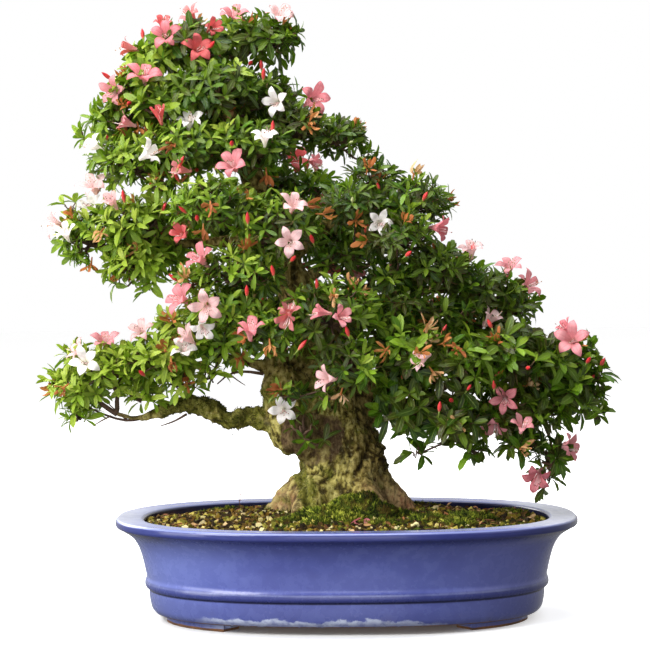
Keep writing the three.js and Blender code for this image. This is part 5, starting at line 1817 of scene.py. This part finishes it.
def growTwigs(pile, bough, whorls, draw, tree):
    # A hub in each lump on the nearest wood, forks from it, and a twig from the forks to each
    # whorl. Gives the last stretch of each whorl's twig.
    spots, axes, lumps = whorls[:, :3], whorls[:, 3:6], whorls[:, 6].astype(int)
    nearest = np.empty_like(spots)
    for lump in sorted(set(lumps)):
        hub = growthCentre[lump] - (0, 0, growthFull[lump][2] * 0.25)
        loose = lump >= len(lumpCentre)
        wood = np.array(tree.find(Vector(hub))[0])
        if loose:
            # a spray hangs from the middle of its bough's nearest lump
            middles = lumpCentre[[n for n, name in enumerate(lumpBough) if name == bough]]
            wood = middles[np.linalg.norm(middles - hub, axis=1).argmin()]
        start = wood + unit(wood - hub) * 3
        path = bent(start[None], hub[None], unit((hub - wood) * (1, 1, 0.4))[None], 6)
        path[:, 1:-1] += draw.normal(size=(1, 4, 3)) * 1.5
        pile.addTubes(path, [np.linspace(3.4, 2.4, 6) * (0.5 if loose else 1)], 6, tone=0.3)
        count = 4 if loose or bough in leafing["thin"] else 15
        outward = spiral(count, lump) * (1, 1, 0.9)
        reach = draw.uniform(0.36, 0.56, (count, 1))
        ends = growthCentre[lump] + outward * growthFull[lump] * reach
        paths = bent(np.tile(hub, (count, 1)), ends, unit(outward + upward * 0.4), 5)
        paths[:, 1:-1] += draw.normal(size=(count, 3, 3)) * 1.2
        radii = np.linspace(2.2, 1.4, 5)[None] * (0.55 if loose else 1)
        pile.addTubes(paths, radii, 5, tone=draw.uniform(0.1, 0.6, count))
        mine = lumps == lump
        gap = np.linalg.norm(spots[mine][:, None] - ends[None], axis=2)
        nearest[mine] = ends[gap.argmin(1)]
    paths = bent(nearest, spots, axes, 4)
    pile.addTubes(paths, np.linspace(1.5, 0.8, 4)[None], 3, tone=draw.uniform(0.3, 1.0, len(spots)))
    return paths[:, -1] - paths[:, -2]


def growLeaves(pile, bough, whorls, draw, stretch):
    # outer leaves lie wide, the first ones stand up and are young, and some sit lower on the twig
    spots, axes = whorls[:, :3], whorls[:, 3:6]
    lumps, layer = whorls[:, 6].astype(int), whorls[:, 7].astype(int)
    count = len(spots)
    side = unit(np.cross(axes, leaning))
    across = np.cross(axes, side)
    leftLight = fade(spots[:, 0], -60, -320)
    rightShade = fade(spots[:, 0], 0, 260) * 0.12
    broad = leafing["scale"].get(bough, 1)
    # painted light: the tops of the lumps are lighter in tone, and their leaves a little younger
    height = (spots[:, 2] - growthCentre[lumps][:, 2]) / growthFull[lumps][:, 2]
    bright = leafing["bright"].get(bough, 0)
    ownTone = draw.normal(0.4, 0.3, count) + leftLight * 0.46 - rightShade + height * 0.28
    # painted shade: the inner layer's leaves are darker
    ownTone += bright - layer * 0.3
    ownTone = np.clip(ownTone, 0.02, 1)
    ownYoung = draw.normal(0.08, 0.26, count) + leftLight * 0.7 + height * 0.14 + bright
    ownYoung = np.clip(ownYoung, 0, 1)
    tight = draw.uniform(0.8, 1.15, count)
    outerLeaves, innerLeaves = (leaves for *_, leaves in leafing["layers"])
    found = []
    for number in range(outerLeaves + leafing["lower"]):
        upright, lower = number < leafing["upright"], number >= outerLeaves
        present = draw.uniform(size=count) < (0.75 if lower else 0.94)
        present &= (lumps < len(lumpCentre)) | (draw.uniform(size=count) < leafing["airy"])
        if number >= innerLeaves:
            present &= (layer == 0) | lower
        turn = number * goldenAngle + draw.uniform(-0.35, 0.35, count) + spots[:, 0]
        lean = draw.normal(*((1.35, 0.25) if lower else (1.08, 0.2)), count) * tight
        if upright:
            lean = draw.uniform(0.25, 0.75, count)
        direction = unit(around(axes, around(side, across, turn), lean))
        # the lower leaves stand on the last stretch of the twig
        drop = draw.uniform(5, 15, count) if lower else draw.uniform(0, 2.5, count)
        root = spots - stretch * np.minimum(drop / np.linalg.norm(stretch, axis=1), 1)[:, None]
        size = draw.uniform(*leafing["length"], count) * (0.8 if upright else broad)
        size *= np.where(layer == 1, 0.92, 1)
        facing = axes - direction * (axes * direction).sum(1, keepdims=True)
        facing = unit(facing + draw.normal(size=root.shape) * 0.12)
        # painted shade: the inner layer's leaves are less fresh, so darker
        fresh = ownYoung + (0.35 if upright else 0) - (0.25 if lower else 0) - layer * 0.2
        tone = ownTone + draw.uniform(-0.2, 0.2, count) - (0.12 if lower else 0)
        row = root, direction, facing, size, np.clip(fresh, 0, 1), np.clip(tone, 0, 1)
        found.append([values[present] for values in row])
    base, along, up, length, young, tone = (np.concatenate(values) for values in zip(*found))
    halfWidth = length * leafing["slimness"] * broad * draw.uniform(0.82, 1.15, len(length))
    droop = draw.normal(0.75, 0.4, len(length))
    pile.addBlades(base, along, up, length, halfWidth, droop, 0.32, tone=tone, young=young)
    return len(length)


twigPaint = plainPaint("twig bark", [
    (0.15, 52, 36, 26), (0.55, 98, 72, 52), (0.9, 128, 112, 66),
], 0.8)


def makeFoliage(draw):
    tree = treeOf(woodSpots[::6])
    material = leafPaint()
    total, allWhorls = 0, {}
    for bough in boughs:
        whorls = allWhorls[bough] = findWhorls(bough, draw)
        leaves, twigs = Pile("along", "across", "tone", "young"), Pile("tone")
        stretch = growTwigs(twigs, bough, whorls, draw, tree)
        total += growLeaves(leaves, bough, whorls, draw, stretch)
        piece = leaves.make(f"leaves_{bough}", material)
        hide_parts(f"foliage_{bough}")
        piece = twigs.make(f"twigs_{bough}", twigPaint)
    print("leaves:", total)
    return allWhorls


allWhorls = makeFoliage(np.random.default_rng(5))

# bare twigs under the low left pad: points with radius
bareTwigs = [
    [(-316, -14, 259, 1.0), (-299, -15, 249, 1.3), (-263, -14, 237, 1.7), (-236, -11, 241, 2.4)],
    [(-282, -22, 257, 0.7), (-272, -18, 247, 1.0), (-262, -14, 238, 1.4)],
    [(-220, -26, 231, 0.6), (-205, -20, 236, 1.1), (-190, -14, 244, 1.6)],
    [(-152, -40, 281, 0.8), (-138, -36, 292, 1.3), (-120, -30, 295, 1.8), (-98, -22, 292, 2.4)],
    [(-119, -36, 279, 0.5), (-128, -35, 285, 0.8), (-137, -35, 292, 1.1)],
    [(-300, -30, 232, 0.5), (-290, -24, 238, 0.8), (-280, -18, 243, 1.1)],
]


def makeBareTwigs():
    pile = Pile("tone")
    for number, course in enumerate(bareTwigs):
        centres, radii = courseAt(course, 10)
        pile.addTubes(centres[None], radii[None], 6, tone=0.2 + 0.1 * number)
    piece = pile.make("bare_twigs", twigPaint)


makeBareTwigs()

# buds and withered flowers

bud = {
    "length": (12, 18),
    "halfWidth": 2.5,
    "sides": 10,
    # share along the bud and share of the half width
    "profile": (
        (0, 0.35), (0.12, 0.62), (0.35, 0.95), (0.55, 1.0), (0.75, 0.74), (0.92, 0.32), (1, 0.04),
    ),
}
# [x, z] where the front shows a red bud
budSpots = [
    (-244, 695), (-284, 645), (-252, 623), (-188, 669), (-162, 685), (-143, 677), (-112, 667),
    (-98, 656), (-96, 639), (-132, 565), (-88, 575), (-198, 543), (-234, 523), (-198, 523),
    (-262, 493), (-174, 479), (-112, 471), (-41, 451), (-66, 432), (-89, 411), (-38, 413),
    (-118, 391), (-60, 325), (22, 465), (72, 437), (158, 434), (5, 331), (180, 340), (150, 355),
    (-239, 295), (115, 241), (174, 275), (130, 263), (286, 303), (304, 297), (216, 299), (52, 399),
]
# [x, z] where it shows a withered flower
witheredSpots = [
    (-264, 613), (-239, 665), (-288, 465), (-160, 495), (-168, 469), (-94, 535), (-30, 481),
    (-47, 492), (-304, 429), (-336, 276), (-210, 307), (114, 325), (52, 319), (103, 297),
    (126, 349), (140, 341), (84, 527), (44, 517), (-247, 589), (-24, 475), (-43, 500), (96, 341),
    (120, 333), (106, 352), (88, 316), (136, 318), (-8, 262), (-90, 330),
]


# what a whorl ends in, and its chance
endings = {"red": 0.02, "pale": 0.03, "withered": 0.05, "leaves": 0.9}
# the slots of what makes buds and withered flowers
redSlot, paleSlot, stalkSlot, drySlot = range(4)


def addBud(pile, base, axis, draw, slot, shrink=1.0):
    # a pointed bud whose folded petals wind round it
    length = draw.uniform(*bud["length"]) * shrink
    side, across = starFrame(axis)
    angle = turns(bud["sides"])
    folds = np.sin(bloom["petals"] * angle)
    rings = []
    for t, width in bud["profile"]:
        reach = bud["halfWidth"] * shrink * width * (1 + 0.14 * folds * (t > 0.1))
        rings.append(base + axis * t * length + ringOf(side, across, angle + t * 1.4, reach))
    along = np.repeat([t for t, _ in bud["profile"]], len(angle))
    pile.add(
        toFrame(np.concatenate(rings)), ringFaces(len(rings), len(angle)), slot, along=along,
        across=np.tile(folds, len(rings)), tone=draw.uniform(),
    )
    stalk = np.array([base - axis * 7, base - axis * 3, base + axis * 0.8])
    pile.addTubes(stalk[None], [[0.7, 0.8, 1.3 * shrink]], 5, stalkSlot, tone=0.4)


def addWithered(pile, base, axis, draw):
    # a browned flower: six limp petals that hang together over its tube
    lean = unit(axis + np.array([0, 0, -0.5]) + draw.normal(size=3) * 0.2)
    out = around(*starFrame(lean), turns(6) + draw.uniform(0, 6))
    direction = unit(lean * 0.9 + out * draw.uniform(0.15, 0.8, (6, 1)))
    points, faces, along, over = blades(
        base + out * 1.2, direction, unit(out + draw.normal(size=(6, 3)) * 0.4),
        draw.uniform(9, 17, 6), draw.uniform(1.6, 3.0, 6), draw.uniform(-1.2, 1.6, 6), 0.7,
    )
    points = points + draw.normal(size=points.shape) * 0.35
    pile.add(toFrame(points), faces, drySlot, along=along, across=over, tone=draw.uniform())
    stalk = np.array([base - lean * 9, base - lean * 4, base + lean * 2])
    pile.addTubes(stalk[None], [[0.8, 1.1, 1.7]], 6, drySlot, tone=0.5)


def budPaint():
    paint = Paint("red bud")
    along, across = paint.mark("along"), paint.mark("across")
    cloud = paint.clouds(200, 3)
    colour = paint.ramp(along * 0.7 + cloud * 0.3 + across * 0.12, [
        (0.12, 206, 150, 110), (0.35, 224, 84, 78), (0.7, 212, 40, 48), (0.95, 168, 24, 38),
    ])
    return paint.finish(Base_Color=colour, Roughness=0.4, Normal=paint.bump(across + cloud, 0.0004))


def makeBuds(draw):
    pale = plainPaint("green bud", [(0.2, 150, 170, 84), (0.8, 216, 220, 160)], 0.45)
    dry = plainPaint("withered petal", [
        (0.15, 108, 54, 20), (0.35, 176, 96, 38), (0.58, 196, 130, 68), (0.78, 218, 176, 124),
        (0.95, 236, 214, 182),
    ], 0.7, (0.25, (210, 140, 80)), 160, 0.0006)
    pile = Pile("along", "across", "tone")
    for x, z in budSpots:
        lump, point, towards = onCrown(x, z)
        normal = skinNormal(lump, point)
        axis = unit(normal * 0.5 + (0, 0, 1.0) - towards * 0.5 + draw.normal(size=3) * 0.35)
        addBud(pile, point + normal * 6 - towards * 4, axis, draw, redSlot)
    for x, z in witheredSpots:
        lump, point, towards = onCrown(x, z)
        normal = skinNormal(lump, point)
        addWithered(pile, point + normal * 5 - towards * 4, normal, draw)
    # a few of the other whorls end in a bud or in a withered flower
    for whorls in allWhorls.values():
        outer = whorls[whorls[:, 7] == 0]
        kinds = draw.choice(list(endings), len(outer), p=list(endings.values()))
        for row, kind in zip(outer, kinds):
            spot, axis = row[:3], unit(row[3:6] + upward * 0.3)
            if kind == "red":
                addBud(pile, spot + axis * 2, axis, draw, redSlot, draw.uniform(0.7, 1))
            elif kind == "pale":
                addBud(pile, spot + axis, axis, draw, paleSlot, draw.uniform(0.5, 0.7))
            elif kind == "withered":
                addWithered(pile, spot + axis * 3, axis, draw)
    piece = pile.make("buds_and_spent_flowers", budPaint(), pale, greenPaint, dry)


makeBuds(np.random.default_rng(12))
print("buds are set")


def makeFallenPetals(draw):
    # two flowers have dropped their petals on the soil
    pile = Pile("along", "across", "tone")
    for x, y in ((9, -134), (215, 58)):
        z = soilHeight(x, y) + 4
        turn = draw.uniform(0, 6, 3)
        rise = draw.uniform(-0.1, 0.4, 3)
        along = unit(np.column_stack([np.cos(turn), np.sin(turn) * 0.6, rise]))
        spots = np.array([x, y, z]) + draw.normal(size=(3, 3)) * (3, 2, 0.5)
        points, faces, share, over = blades(
            spots, along, unit(upward + draw.normal(size=(3, 3)) * 0.4), draw.uniform(11, 16, 3),
            draw.uniform(3.2, 4.4, 3), draw.uniform(-0.6, 0.9, 3), 0.4,
        )
        pile.add(toFrame(points), faces, along=0.4 + share * 0.6, across=over, tone=0.2)
    piece = pile.make("fallen_petals", petalPaints["pink"])


makeFallenPetals(np.random.default_rng(3))
